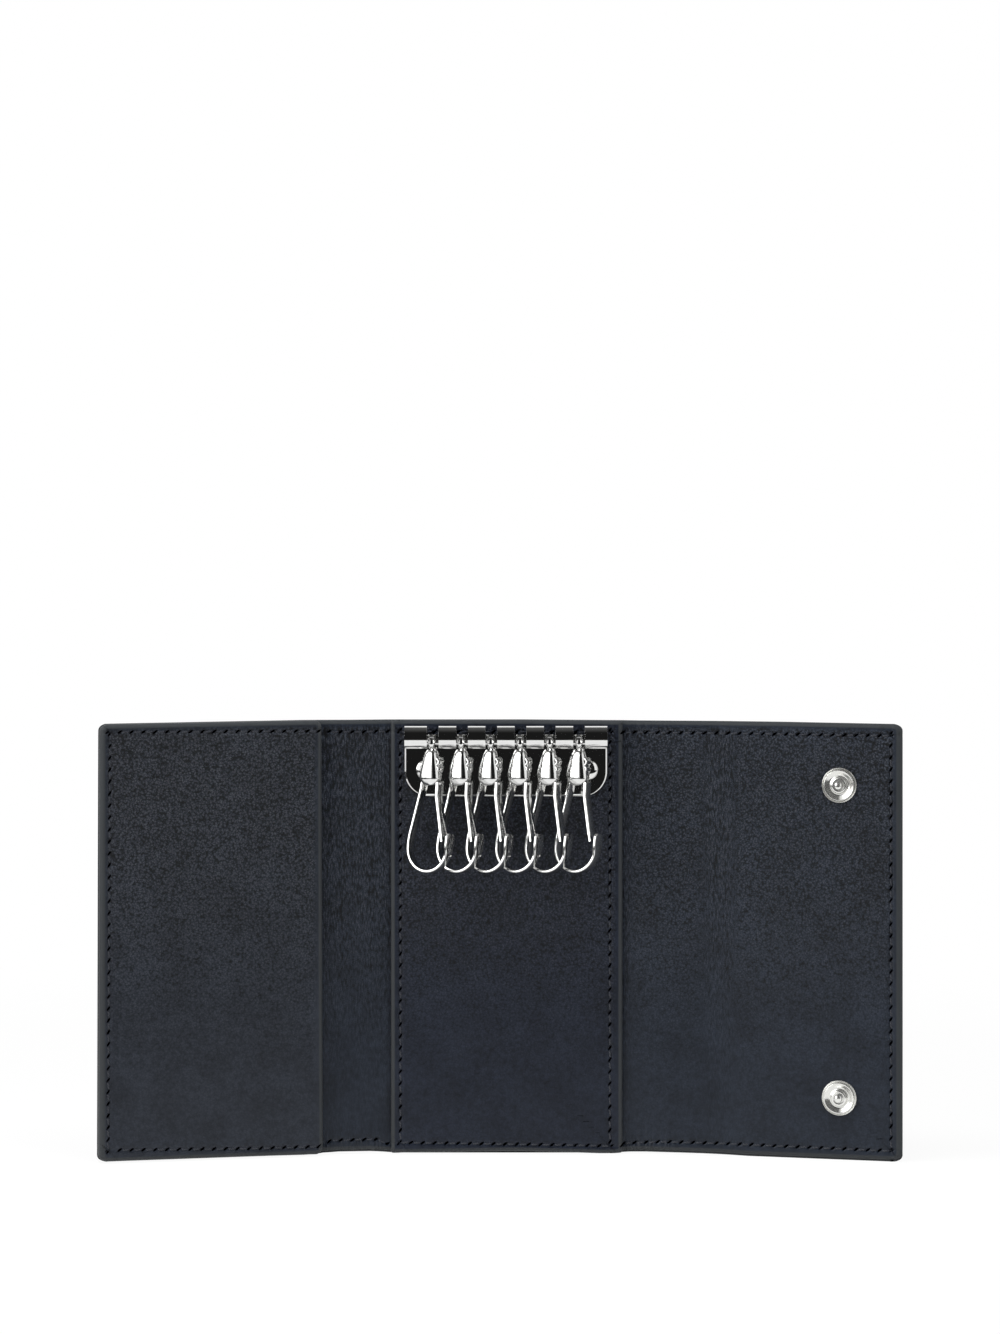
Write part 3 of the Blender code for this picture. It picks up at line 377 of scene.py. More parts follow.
def at(along, out, z):
    """World points of places in the leather's own layout."""
    left = smooth_share((LEFT_END + END_FLARE_REACH - along) / END_FLARE_REACH)
    right = smooth_share((along - RIGHT_END + END_FLARE_REACH) / END_FLARE_REACH)
    left_flare = LEFT_FLARE_BOTTOM + (LEFT_FLARE_TOP - LEFT_FLARE_BOTTOM) * np.asarray(z) / CASE_HEIGHT
    along = along - left * left_flare + right * RIGHT_FLARE
    heading = np.interp(along, line_along, line_heading)
    x = np.interp(along, line_along, line_x) - out * np.sin(heading)
    y = np.interp(along, line_along, line_y) + out * np.cos(heading)
    return np.stack([x, y, np.broadcast_to(z, x.shape)], axis=-1)


def place_at(along, out, z):
    return Vector(at(np.array([along]), np.array([out]), np.array([z]))[0])


def turn_at(along):
    """Rotation that sets a piece modelled facing -Y onto the leather there."""
    return Matrix.Rotation(float(np.interp(along, line_along, line_heading)), 4, "Z")


# Seams

def top_seam(along):
    return CASE_HEIGHT - np.interp(along, *zip(*TOP_SEAM))


def bottom_seam(along):
    return np.interp(along, *zip(*BOTTOM_SEAM))


def upright(place, drift=0.0):
    """The line of an upright seam, and how far it drifts over the case's height."""
    return lambda z: place + drift * z / CASE_HEIGHT


left_seam = upright(LEFT_END + LEFT_SEAM_BOTTOM, LEFT_SEAM_TOP - LEFT_SEAM_BOTTOM)
right_seam = upright(RIGHT_END - RIGHT_SEAM_INSET)
overlay_left_seam = upright(-CENTRE_WIDTH / 2 + OVERLAY_SEAM_INSET)
overlay_right_seam = upright(CENTRE_WIDTH / 2 - OVERLAY_SEAM_INSET)


def seam_values(along, z, uprights):
    """The distance to the nearest seam, and the place along and across it in stitches."""
    best = np.full(along.shape, np.inf)
    steps, across = np.zeros(along.shape), np.zeros(along.shape)
    seams = [(z - line(along), along) for line in (top_seam, bottom_seam)]
    seams += [(along - line(z), z) for line in uprights]
    for offset, run in seams:
        nearer = np.abs(offset) < best
        best = np.where(nearer, np.abs(offset), best)
        steps = np.where(nearer, run / STITCH_PITCH, steps)
        across = np.where(nearer, offset / STITCH_PITCH, across)
    return best, steps, across


def slits(steps, across):
    """Where the slanted stitch holes lie, from 0 to 1."""
    run = steps - np.round(steps)
    lengthwise = (run * cos(SLIT_SLANT) + across * sin(SLIT_SLANT)) / SLIT_LENGTH
    sidewise = (across * cos(SLIT_SLANT) - run * sin(SLIT_SLANT)) / SLIT_WIDTH
    return smooth_share((SLIT_EDGE - np.sqrt(lengthwise ** 2 + sidewise ** 2)) / (SLIT_EDGE - SLIT_CORE))


# Leather sheets

def lines_between(low, high, step):
    count = max(1, int(np.ceil((high - low) / step - 1e-9)))
    return np.linspace(low, high, count + 1)


def rim_lines():
    return np.array([RIM_WIDTH * (1 - sin(radians(turn))) for turn in reversed(RIM_TURNS)])


def columns_between(start, end, free):
    parts = [lines_between(start + RIM_WIDTH * free[0], end - RIM_WIDTH * free[1], STEP_ALONG)]
    parts += [start + rim_lines()] * free[0] + [end - rim_lines()] * free[1]
    return np.unique(np.round(np.concatenate(parts), 7))


def row_insets():
    """Heights of the grid rows from the nearer end to the middle."""
    fine = lines_between(RIM_WIDTH, FINE_REACH, FINE_STEP)
    near = np.unique(np.round(np.concatenate([rim_lines(), fine]), 7))
    return np.concatenate([near, lines_between(FINE_REACH, CASE_HEIGHT / 2, COARSE_STEP)[1:]])


def round_corners(along, z, low, high, start, end, corner):
    """Draw the square corners of a grid in to round ones."""
    for edge, side in ((start, 1), (end, -1)):
        if edge is None:
            continue
        beyond = np.clip(corner - side * (along - edge), 0, None)
        for limit, way in ((low, 1), (high, -1)):
            above = np.clip(corner - way * (z - limit), 0, None)
            both = (beyond > 0) & (above > 0)
            length = np.sqrt(beyond ** 2 + above ** 2)
            share = np.where(both, np.maximum(beyond, above) / np.maximum(length, 1e-9), 1.0)
            along = np.where(both, edge + side * (corner - beyond * share), along)
            z = np.where(both, limit + way * (corner - above * share), z)
    return along, z


def undulation(along, z):
    """The slow unevenness of a leather face, up to about a tenth of a millimetre."""
    u, v = along / UNEVEN_ALONG, z / UNEVEN_UP
    slow = np.sin(u * 1.3 + 0.7 * np.sin(v * 1.1)) * np.cos(v * 1.7 + 0.4)
    quick = np.sin(u * 3.1 + 1.9 + np.sin(v * 2.3)) * np.sin(v * 2.9 + u)
    return UNEVEN_SLOW * slow + UNEVEN_QUICK * quick


def puckers(along, z):
    """Upright puckers beside the seams where a spine's leather is drawn in."""
    spine = np.zeros(along.shape)
    for (low, low_fade), (high, high_fade) in PUCKER_SPANS:
        span = smooth_share((along - low) / low_fade) * smooth_share((high - along) / high_fade)
        spine = np.maximum(spine, span)
    u = along / PUCKER_PITCH
    ripple = np.sin(2 * pi * u + 2.1 * np.sin(u * 1.7)) + 0.6 * np.sin(2 * pi * u * 0.53 + 1.0)
    bottom = np.exp(-np.clip(z - PUCKER_BOTTOM, 0, None) / PUCKER_BOTTOM_FADE)
    top = PUCKER_TOP_SHARE * np.exp(-np.clip(PUCKER_TOP - z, 0, None) / PUCKER_TOP_FADE)
    return PUCKER_HEIGHT * spine * ripple * (bottom + top)


def sheet(name, start, end, front, back, finish, free=(False, False), inset=0.0, uprights=(),
          puckered=False, behind=False, corner=CORNER_RADIUS, creases=(), bottom_line=BOTTOM_RISE,
          spread=None):
    """A leather ply as a closed grid solid; its shown face, the back one if it lies behind, has
    the rounded rim, sewn grooves and creases."""
    from_end = row_insets()
    along, rows = np.meshgrid(columns_between(start, end, free), np.arange(2 * len(from_end) - 1),
                              indexing="ij")
    reach = np.concatenate([from_end, from_end[-2::-1]])[rows]
    low = np.maximum(inset + np.interp(along, *zip(*bottom_line)), 0.0)
    high = CASE_HEIGHT - min(inset, RIM_INSET) + np.interp(along, *zip(*TOP_RISE))
    shrink = (high - low) / CASE_HEIGHT
    z = np.where(rows >= len(from_end), high - reach * shrink, low + reach * shrink)
    rim = reach.copy()
    if free[0]:
        rim = np.minimum(rim, along - start)
    if free[1]:
        rim = np.minimum(rim, end - along)
    along, z = round_corners(along, z, low, high, start if free[0] else None, end if free[1] else None,
                             corner)
    if spread:
        along = along + spread(along, z)
    best, steps, across = seam_values(along, z, uprights)
    relief = GROOVE_DEPTH * peak(best, GROOVE_WIDTH) + SLIT_DEPTH * slits(steps, across)
    relief = relief + undulation(along, z)
    if puckered:
        relief = relief + puckers(along, z)
    edge = np.sqrt(np.clip(1 - (1 - np.clip(rim / RIM_WIDTH, 0, 1)) ** 2, 0, 1))
    out_front = front(along, rim) if callable(front) else np.full(along.shape, front)
    out_back = back(along, rim) if callable(back) else np.full(along.shape, back)
    relief = relief + (out_back - out_front) * RIM_DEPTH_SHARE * (1 - edge)
    if behind:
        out_back = out_back - relief
    else:
        out_front = out_front + relief
    creased = np.zeros(along.shape)
    for mark, width in creases:
        creased = np.maximum(creased, peak(along - mark, width))
    return grid_solid(name, along, z, out_front, out_back, finish, (steps, across), rim, creased)


def grid_solid(name, along, z, out_front, out_back, finish, seam, rim, creased):
    """Join a front grid and a back grid into one closed solid."""
    wide, tall = along.shape
    count = wide * tall
    points = np.concatenate([at(along.ravel(), out.ravel(), z.ravel()) for out in (out_front, out_back)])
    index = np.arange(count).reshape(wide, tall)
    corners = [index[:-1, :-1], index[1:, :-1], index[1:, 1:], index[:-1, 1:]]
    quads = np.stack(corners, axis=-1).reshape(-1, 4)
    ring = np.concatenate([index[:, 0], index[-1, 1:], index[-2::-1, -1], index[0, -2:0:-1]])
    after = np.roll(ring, -1)
    side = np.stack([ring, ring + count, after + count, after], axis=-1)
    faces = np.concatenate([quads, quads[:, ::-1] + count, side])
    nought = np.zeros(count)
    grain = np.stack([along.ravel(), z.ravel(), nought], axis=-1)
    stitches = np.stack([seam[0].ravel(), seam[1].ravel(), nought], axis=-1)
    values = {"grain": np.concatenate([grain, grain + np.array(BACK_GRAIN_SHIFT)]),
              "seam": np.tile(stitches, (2, 1)), "rim": np.tile(rim.ravel(), 2),
              "creased": np.tile(creased.ravel(), 2)}
    return outward(mesh_object(name, points, faces, finish, sharp=50, values=values))


# Finishes

def fill(tree, made, inputs):
    """Link or set a shader node's inputs."""
    for label, value in inputs.items():
        if isinstance(value, Value):
            tree.links.new(value.output, made.inputs[label])
        else:
            made.inputs[label].default_value = value


def add_node(tree, kind, inputs=None, **settings):
    made = tree.nodes.new("ShaderNode" + kind)
    for label, value in settings.items():
        setattr(made, label, value)
    fill(tree, made, inputs or {})
    return made


def output(tree, label, kind, inputs=None, **settings):
    return Value(tree, add_node(tree, kind, inputs, **settings).outputs[label])


class Value:
    """An output of a shader node. Arithmetic on it adds maths nodes."""

    def __init__(self, tree, socket):
        self.tree, self.output = tree, socket

    def __add__(self, other):
        return maths("ADD", self, other)

    def __sub__(self, other):
        return maths("SUBTRACT", self, other)

    def __rsub__(self, other):
        return maths("SUBTRACT", other, self)

    def __mul__(self, other):
        return maths("MULTIPLY", self, other)

    def __truediv__(self, other):
        return maths("DIVIDE", self, other)

    def __pow__(self, other):
        return maths("POWER", self, other)

    def eased(self, low, high, to_low=0.0, to_high=1.0):
        """The range from low to high, mapped with smooth ends."""
        span = {"Value": self, "From Min": low, "From Max": high, "To Min": to_low, "To Max": to_high}
        return output(self.tree, "Result", "MapRange", span, interpolation_type="SMOOTHSTEP")


def tree_of(*values):
    """The node tree of the first Value among these."""
    return next(value.tree for value in values if isinstance(value, Value))


def maths(operation, *operands, clamp=False):
    inputs = dict(enumerate(operands))
    return output(tree_of(*operands), 0, "Math", inputs, operation=operation, use_clamp=clamp)


def mixed(share, first, second, blend="MIX"):
    """The second colour laid over the first by a share."""
    inputs = {0: share, 6: first, 7: second}
    return output(tree_of(share, first), 2, "Mix", inputs, data_type="RGBA", blend_type=blend)


def grey(level):
    return output(level.tree, 0, "CombineColor", {"Red": level, "Green": level, "Blue": level})


def noise(place, scale, detail, **more):
    inputs = {"Vector": place, "Scale": scale, "Detail": detail, **more}
    return output(place.tree, "Fac", "TexNoise", inputs)


def bumped(height, strength, distance):
    inputs = {"Height": height, "Strength": strength, "Distance": distance}
    return output(height.tree, "Normal", "Bump", inputs)


def stored(tree, name, label="Fac"):
    """A point value stored on the mesh."""
    return output(tree, label, "Attribute", attribute_name=name)


def new_finish(name):
    made = bpy.data.materials.new(name)
    made.use_nodes = True
    tree = made.node_tree
    return made, tree, tree.nodes["Principled BSDF"]


def shades(colour, low, high):
    """A darker and a lighter shade of a colour, each with full alpha."""
    return [tuple(part * share for part in colour) + (1.0,) for share in (low, high)]


# Leather grain: its size, its height, how strongly its height is painted as shade and light, and how it
# fades toward the case's lower edge and the rim
GRAIN_SIZE, GRAIN_HEIGHT = 0.00056, 0.00018
GRAIN_LEVEL, GRAIN_SHADING_STRENGTH, FINE_SHARE, CELL_SHARE = 0.42, 4.6, 1.5, 0.7
GRAIN_LOW, GRAIN_HIGH, GRAIN_LEAST = 0.008, 0.100, 0.15
CREASE_STRETCH = (1.5, 0.42, 1.0)
BACK_GRAIN_SHIFT = (0.37, 0.21, 0.0)
# The least and most share of the colour in the painted grain shading (painted shade in the grain's pits,
# painted light on its tops), and the level of the painted glints on the highest tops
DEEPEST_PAINTED_SHADE, BRIGHTEST_PAINTED_LIGHT, PAINTED_GLINT_LEVEL = 0.12, 1.3, 0.026
# The rim's edge paint: smooth paint, and its lighter tone than the leather is partly painted sheen where
# the rounded edge catches the light
RIM_PAINT_AND_SHEEN = (0.029, 0.032, 0.035, 1.0)
LEATHER_ROUGHNESS, RIM_ROUGHNESS, HOLE_ROUGHNESS, HOLE_DROP = (0.30, 0.44), 0.16, 0.4, 2.2
# Shares of the rim's width where its paint ends and the full grain begins
PAINT_FULL, PAINT_END, GRAIN_BEGIN = 0.8, 1.25, 2.8
NOISE_RANGE, CREASE_RANGE, TONE_RANGE, TONE_SHADES = (0.3, 0.7), (0.1, 0.8), (0.35, 0.65), (0.78, 1.28)
# Near-black painted shade in the stitch holes
PAINTED_HOLE_SHADE = (0.0010, 0.0011, 0.0016, 1.0)
LEATHER_SHINE = 0.22
THREAD_DARK, THREAD_LIGHT = (0.012, 0.014, 0.020, 1.0), (0.026, 0.029, 0.038, 1.0)
BOARD_DARK, BOARD_LIGHT = (0.24, 0.19, 0.14, 1.0), (0.36, 0.30, 0.23, 1.0)
METAL_SCRATCH_DEPTH = 0.00004


def stitch_holes(tree):
    """1 in the slanted holes of the seams, 0 beside them."""
    parts = add_node(tree, "SeparateXYZ", {"Vector": stored(tree, "seam", "Vector")}).outputs
    steps, across = Value(tree, parts["X"]), Value(tree, parts["Y"])
    along = maths("FRACT", steps + 0.5) - 0.5
    lengthwise = along * cos(SLIT_SLANT) + across * sin(SLIT_SLANT)
    sidewise = across * cos(SLIT_SLANT) - along * sin(SLIT_SLANT)
    square = (lengthwise / SLIT_LENGTH) ** 2.0 + (sidewise / SLIT_WIDTH) ** 2.0
    return maths("SQRT", square).eased(SLIT_CORE, SLIT_EDGE, 1.0, 0.0)


def leather_finish(name, colour):
    """Fine pebbled leather, with drawn-out grain at the folds, painted shade in the grain's pits and
    near-black painted shade in the stitch holes, painted light and glints on the grain's tops, and a rim of
    edge paint whose lighter tone is partly painted sheen.
    """
    made, tree, shader = new_finish(name)
    layout = stored(tree, "grain", "Vector")
    even = output(tree, 0, "VectorMath", {0: layout, "Scale": 1 / GRAIN_SIZE}, operation="SCALE")
    drawn = output(tree, 0, "VectorMath", {0: even, 1: CREASE_STRETCH}, operation="MULTIPLY")
    pebble, stroke = [output(tree, "Distance", "TexVoronoi", {"Vector": place, "Scale": 1.0})
                      for place in (even, drawn)]
    creased = stored(tree, "creased").eased(*CREASE_RANGE)
    fine = noise(even, scale=2.3, detail=3.0, Roughness=0.6)
    cells = pebble * (1.0 - creased) + stroke * creased
    height = fine * FINE_SHARE - cells * CELL_SHARE - GRAIN_LEVEL
    rim = stored(tree, "rim")
    # The rim band of edge paint, coloured lighter partly as painted sheen
    paint = rim.eased(RIM_WIDTH * PAINT_FULL, RIM_WIDTH * PAINT_END, 1.0, 0.0)
    level = output(tree, "Y", "SeparateXYZ", {"Vector": layout})
    upward = level.eased(GRAIN_LOW, GRAIN_HIGH, GRAIN_LEAST)
    inward = rim.eased(RIM_WIDTH, RIM_WIDTH * GRAIN_BEGIN, GRAIN_LEAST)
    height = height * (upward * inward * (1.0 - paint))

    tone = noise(even, scale=0.35, detail=4.0) * 0.5 + noise(even, scale=0.05, detail=3.0) * 0.5
    base = mixed(tone.eased(*TONE_RANGE), *shades(colour, *TONE_SHADES))
    # Painted shade and light: the colour is darkened in the grain's pits and lightened on its tops,
    # following the grain's height
    painted_grain_shading = maths("MAXIMUM", height * GRAIN_SHADING_STRENGTH + 1.0, DEEPEST_PAINTED_SHADE)
    # Painted glints: brightness added to the colour on the highest grain tops, where highlights would catch
    painted_glint = maths("MAXIMUM", painted_grain_shading - BRIGHTEST_PAINTED_LIGHT, 0.0) * PAINTED_GLINT_LEVEL
    hole = stitch_holes(tree)
    base = mixed(1.0, base, grey(maths("MINIMUM", painted_grain_shading, BRIGHTEST_PAINTED_LIGHT)), "MULTIPLY")
    base = mixed(1.0, base, grey(painted_glint), "ADD")
    # Painted shade: the stitch holes are coloured near-black over the leather and the rim
    base = mixed(hole, mixed(paint, base, RIM_PAINT_AND_SHEEN), PAINTED_HOLE_SHADE)
    rough = fine.eased(*NOISE_RANGE, *LEATHER_ROUGHNESS) + paint * RIM_ROUGHNESS + hole * HOLE_ROUGHNESS
    # The holes are also made fully metallic, so that their near-black painted shade takes no diffuse light
    fill(tree, shader, {"Base Color": base, "Roughness": rough, "Metallic": hole,
                        "Specular IOR Level": LEATHER_SHINE,
                        "Normal": bumped(height - hole * HOLE_DROP, 1.0, GRAIN_HEIGHT)})
    return made


def thread_finish():
    """Waxed near-black thread with a twist."""
    made, tree, shader = new_finish("thread")
    place = output(tree, "Object", "TexCoord")
    twist = output(tree, "Fac", "TexWave", {"Vector": place, "Scale": 900.0, "Distortion": 1.5},
                   bands_direction="DIAGONAL")
    base = mixed(twist, THREAD_DARK, THREAD_LIGHT)
    fill(tree, shader, {"Base Color": base, "Roughness": twist.eased(0.0, 1.0, 0.6, 0.45),
                        "Normal": bumped(twist, 0.5, 0.00006)})
    return made


def metal_finish(name, colour, roughness, spread, scratch, metallic=1.0):
    """Plated metal: a nearly even mirror, with a trace of haze and fine rub marks."""
    made, tree, shader = new_finish(name)
    place = output(tree, "Object", "TexCoord")
    haze = noise(place, scale=900.0, detail=4.0)
    rub = noise(place, scale=260.0, detail=6.0, Distortion=1.2)
    fill(tree, shader, {"Base Color": mixed(rub.eased(*NOISE_RANGE), *shades(colour, 0.96, 1.0)),
                        "Metallic": metallic,
                        "Roughness": haze.eased(*NOISE_RANGE, roughness, roughness + spread),
                        "Normal": bumped(rub, scratch, METAL_SCRATCH_DEPTH)})
    return made


def board_finish():
    """Pressed leather fibre board."""
    made, tree, shader = new_finish("leatherboard")
    fibre = noise(output(tree, "Object", "TexCoord"), scale=1400.0, detail=5.0)
    fill(tree, shader, {"Base Color": mixed(fibre, BOARD_DARK, BOARD_LIGHT),
                        "Roughness": 0.9, "Normal": bumped(fibre, 0.4, 0.0001)})
    return made


LEATHER = leather_finish("pebbled_leather", (0.0160, 0.0192, 0.0262))
PATCH = leather_finish("patch_leather", (0.0100, 0.0130, 0.0212))
LINING = leather_finish("lining_leather", (0.0120, 0.0158, 0.0238))
THREAD = thread_finish()
CHROME = metal_finish("bright_plating", (0.80, 0.80, 0.79), 0.05, 0.05, 0.03)
HOOK_CHROME = metal_finish("tumbled_plating", (0.80, 0.80, 0.79), 0.09, 0.05, 0.03)
SATIN = metal_finish("satin_plating", (0.80, 0.80, 0.77), 0.12, 0.06, 0.05, metallic=0.88)
STEEL = metal_finish("drawn_steel", (0.66, 0.66, 0.65), 0.14, 0.08, 0.06)
BRASS = metal_finish("plain_brass", (0.66, 0.52, 0.27), 0.25, 0.10, 0.08)
BOARD = board_finish()


# Leather pieces

def bend_over(made, fold):
    """Bake a piece's placement into its mesh; the piece already follows the leather's folded line."""
    half = (-fold.bend if fold.place < 0 else fold.bend) / 2
    middle = CASE_HEIGHT / 2
    place_at(fold.place - half, 0, middle)
    place_at(fold.place + half, 0, middle)
    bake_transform(made)
    return made


def ply(name, start, end, front, back, finish, fold, nodes, slot, **shape):
    """A leather ply bent over one fold, in place of nodes of the part."""
    made = bend_over(sheet(name, start, end, front, back, finish, **shape), fold)
    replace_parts(made, *nodes)


def swell(rim):
    """1 at the rim, fading inward."""
    return 1 - smooth_share((rim - SWELL_START) / SWELL_REACH)


def left_lining_front(along):
    """The left lining steps forward where it goes under the pocket."""
    under = smooth_share((LINING_STEP_END - along) / LINING_STEP_LENGTH)
    return LINING_FRONT + (PANEL_LINING_FRONT - LINING_FRONT) * under


def dressed_outer():
    def front(along, rim):
        return OUTER_FRONT - OUTER_SWELL * swell(rim)

    for name, start, end, fold, nodes in (
            ("outer_skin_left", LEFT_END, LEFT_CUT, PANEL_FOLD, ("outer_leather_left_panel",)),
            ("outer_skin_centre_left", LEFT_CUT, 0.0, LEFT_FOLD, ("outer_leather_left_spine",)),
            ("outer_skin_centre_right", 0.0, RIGHT_CUT, RIGHT_FOLD,
             ("outer_leather_centre", "outer_leather_right_spine")),
            ("outer_skin_right", RIGHT_CUT, RIGHT_END, FLAP_FOLD, ("outer_leather_right_flap",))):
        ply(name, start, end, front, OUTER_BACK, LEATHER, fold, nodes, "leather",
            free=(start == LEFT_END, end == RIGHT_END), uprights=(left_seam, right_seam), behind=True,
            creases=OUTER_CREASES)


def dressed_linings():
    def left_front(along, rim):
        return left_lining_front(along)

    def left_back(along, rim):
        return left_lining_front(along) + LINING_BACK - LINING_FRONT + OUTER_SWELL * swell(rim)

    def back(along, rim):
        return LINING_BACK + OUTER_SWELL * swell(rim)

    def lining(name, start, end, faces, fold, creases, node_name, free=(False, False), uprights=()):
        ply(name, start, end, *faces, LINING, fold, (node_name,), "lining", free=free, inset=PLY_INSET,
            uprights=uprights, puckered=True, creases=creases)

    plain = (LINING_FRONT, back)
    lining("lining_left", LEFT_END + RIM_INSET, LEFT_CUT, (left_front, left_back), PANEL_FOLD, LEFT_CREASES,
           "left_panel_lining", (True, False), (left_seam,))
    lining("lining_centre_left", LEFT_CUT, -FOLD_SPINE + LINING_TUCK, plain, LEFT_FOLD, LEFT_CREASES,
           "left_spine_lining")
    lining("lining_centre_right", FOLD_SPINE - LINING_TUCK, RIGHT_CUT, plain, RIGHT_FOLD, RIGHT_CREASES,
           "right_spine_lining")
    lining("lining_right", RIGHT_CUT, RIGHT_END - RIM_INSET, plain, FLAP_FOLD, RIGHT_CREASES,
           "right_flap_lining", (False, True), (right_seam,))


def dressed_overlay():
    def back(along, rim):
        beside = np.minimum(along - OVERLAY_LEFT, OVERLAY_RIGHT - along)
        return OVERLAY_BACK + OVERLAY_SWELL * swell(rim) * smooth_share(beside / OVERLAY_FLAT_END - 1)

    for name, start, end, fold, free in (
            ("overlay_skin_left", OVERLAY_LEFT, 0.0, LEFT_FOLD, (True, False)),
            ("overlay_skin_right", 0.0, OVERLAY_RIGHT, RIGHT_FOLD, (False, True))):
        ply(name, start, end, OVERLAY_FRONT, back, PATCH, fold, ("centre_overlay",), "leather", free=free,
            uprights=(overlay_left_seam, overlay_right_seam), corner=OVERLAY_CORNER_RADIUS,
            bottom_line=OVERLAY_RISE)


def dressed_pocket():
    def near_mouth(along):
        return smooth_share((along - POCKET_MOUTH + MOUTH_REACH) / MOUTH_FADE)

    def front(along, rim):
        crease = peak(POCKET_MOUTH - along - MOUTH_CREASE_INSET, MOUTH_CREASE_WIDTH)
        return POCKET_FRONT + MOUTH_CREASE_DEPTH * crease

    def back(along, rim):
        sewn = np.minimum(rim, np.abs(along - LEFT_END))
        return POCKET_BACK + POCKET_SWELL * swell(sewn) * (1 - near_mouth(along))

    def spread(along, z):
        return near_mouth(along) * MOUTH_SPREAD * (1 - z / CASE_HEIGHT)

    ply("pocket_skin", LEFT_END + RIM_INSET, POCKET_MOUTH, front, back, LEATHER, PANEL_FOLD,
        ("pocket_front",), "leather", free=(True, True), inset=PLY_INSET, uprights=(left_seam,),
        spread=spread)


# Threads

def stitch(number, line, surface, upright, way):
    """One strand, dipping into the holes at its ends."""
    rings = []
    for share in np.linspace(0, 1, 9):
        run = (number + 0.5 + THREAD_SHARE * (share - 0.5)) * STITCH_PITCH
        lift = THREAD_RISE - THREAD_DIP * (2 * share - 1) ** 6
        ring = []
        for turn in circle(8):
            sideways = THREAD_SLANT * (2 * share - 1) + THREAD_RADIUS * cos(turn)
            upward = lift + THREAD_RADIUS * (THREAD_FLATNESS * sin(turn) - THREAD_SINK)
            along, z = (line(run) - sideways, run) if upright else (run, line(run) + sideways)
            ring.append(tuple(place_at(along, surface(along, z) + way * upward, z)))
        rings.append(ring)
    return loft(rings)


def seam_threads(name, line, low, high, surface, upright, behind):
    """A strand for each stitch of a seam."""
    numbers = range(int(np.ceil(low / STITCH_PITCH)), int(np.floor(high / STITCH_PITCH)))
    strands = [stitch(number, line, surface, upright, 1 if behind else -1) for number in numbers]
    return solid("thread_" + name, joined(*strands), THREAD, sharp=60)


def dressed_threads():
    def flat(depth):
        return lambda along, z: depth

    def lining(along, z):
        return float(left_lining_front(along)) + GROOVE_DEPTH

    pocket, overlay = flat(POCKET_FRONT + GROOVE_DEPTH), flat(OVERLAY_FRONT + GROOVE_DEPTH)
    flap, back = flat(LINING_FRONT + GROOVE_DEPTH), flat(OUTER_BACK - GROOVE_DEPTH)
    start, end = LEFT_END + SEAM_START, RIGHT_END - SEAM_START
    for level, line in (("top", top_seam), ("bottom", bottom_seam)):
        for label, low, high, surface, fold in (
                ("pocket", start, POCKET_MOUTH - MOUTH_SEAM_INSET, pocket, PANEL_FOLD),
                ("overlay_left", OVERLAY_LEFT + SEAM_GAP, 0.0, overlay, LEFT_FOLD),
                ("overlay_right", 0.0, OVERLAY_RIGHT - SEAM_GAP, overlay, RIGHT_FOLD),
                ("spine_left_a", POCKET_MOUTH + SEAM_GAP, LEFT_CUT, lining, PANEL_FOLD),
                ("spine_left_b", LEFT_CUT - LEFT_SEAM_SPARE, -FOLD_SPINE, lining, LEFT_FOLD),
                ("spine_right_a", FOLD_SPINE, RIGHT_CUT, lining, RIGHT_FOLD),
                ("flap", RIGHT_CUT - SEAM_SPARE, end, lining, FLAP_FOLD),
                ("back_left", start, LEFT_CUT, back, PANEL_FOLD),
                ("back_centre_left", LEFT_CUT - SEAM_SPARE, 0.0, back, LEFT_FOLD),
                ("back_centre_right", 0.0, RIGHT_CUT, back, RIGHT_FOLD),
                ("back_right", RIGHT_CUT - SEAM_SPARE, end, back, FLAP_FOLD)):
            name = "%s_%s" % (label, level)
            bend_over(seam_threads(name, line, low, high, surface, False, surface is back), fold)
    for name, line, surface, carrier in (
            ("pocket_side", left_seam, pocket, "left_panel"),
            ("flap_side", right_seam, flap, "right_flap"),
            ("overlay_left", overlay_left_seam, overlay, LEFT_FOLD),
            ("overlay_right", overlay_right_seam, overlay, RIGHT_FOLD),
            ("back_left_side", left_seam, back, "left_panel"),
            ("back_right_side", right_seam, back, "right_flap")):
        made = seam_threads(name, line, SIDE_SEAM_BOTTOM, SIDE_SEAM_TOP, surface, True, surface is back)
        if isinstance(carrier, Fold):
            bend_over(made, carrier)
        else:
            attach(made, carrier)


# Key plate

def in_case(x, y, z):
    return (CASE_X + x, CASE_Y + y, z)


def plate_rows():
    """Up the sheet: outer and inner (y, z), share of the full width, and how far it has curled."""
    rows = []
    top = PLATE_TOP - CURL_RADIUS
    for step in range(PLATE_CORNER_STEPS + 1):
        turn = pi / 2 * step / PLATE_CORNER_STEPS
        z = PLATE_TOP - PLATE_HEIGHT + PLATE_CORNER * (1 - cos(turn))
        narrowing = 2 * PLATE_CORNER * (1 - sin(turn)) / PLATE_WIDTH
        rows.append(((PLATE_BACK, z), (PLATE_FRONT, z), 1 - narrowing, 0))
    for z in lines_between(PLATE_TOP - PLATE_HEIGHT + PLATE_CORNER, top, PLATE_ROW_STEP)[1:-1]:
        rows.append(((PLATE_BACK, z), (PLATE_FRONT, z), 1, 0))
    middle = PLATE_BACK - CURL_RADIUS
    turns = np.concatenate([np.linspace(0, NOTCH_TURN, NOTCH_ROWS),
                            np.linspace(NOTCH_TURN, CURL_TURN, CURL_ROWS)[1:]])
    for turn in turns:
        outer, inner = [(middle + radius * cos(radians(turn)), top + radius * sin(radians(turn)))
                        for radius in (CURL_RADIUS, CURL_RADIUS - PLATE_SHEET)]
        rows.append((outer, inner, 1, turn))
    return rows


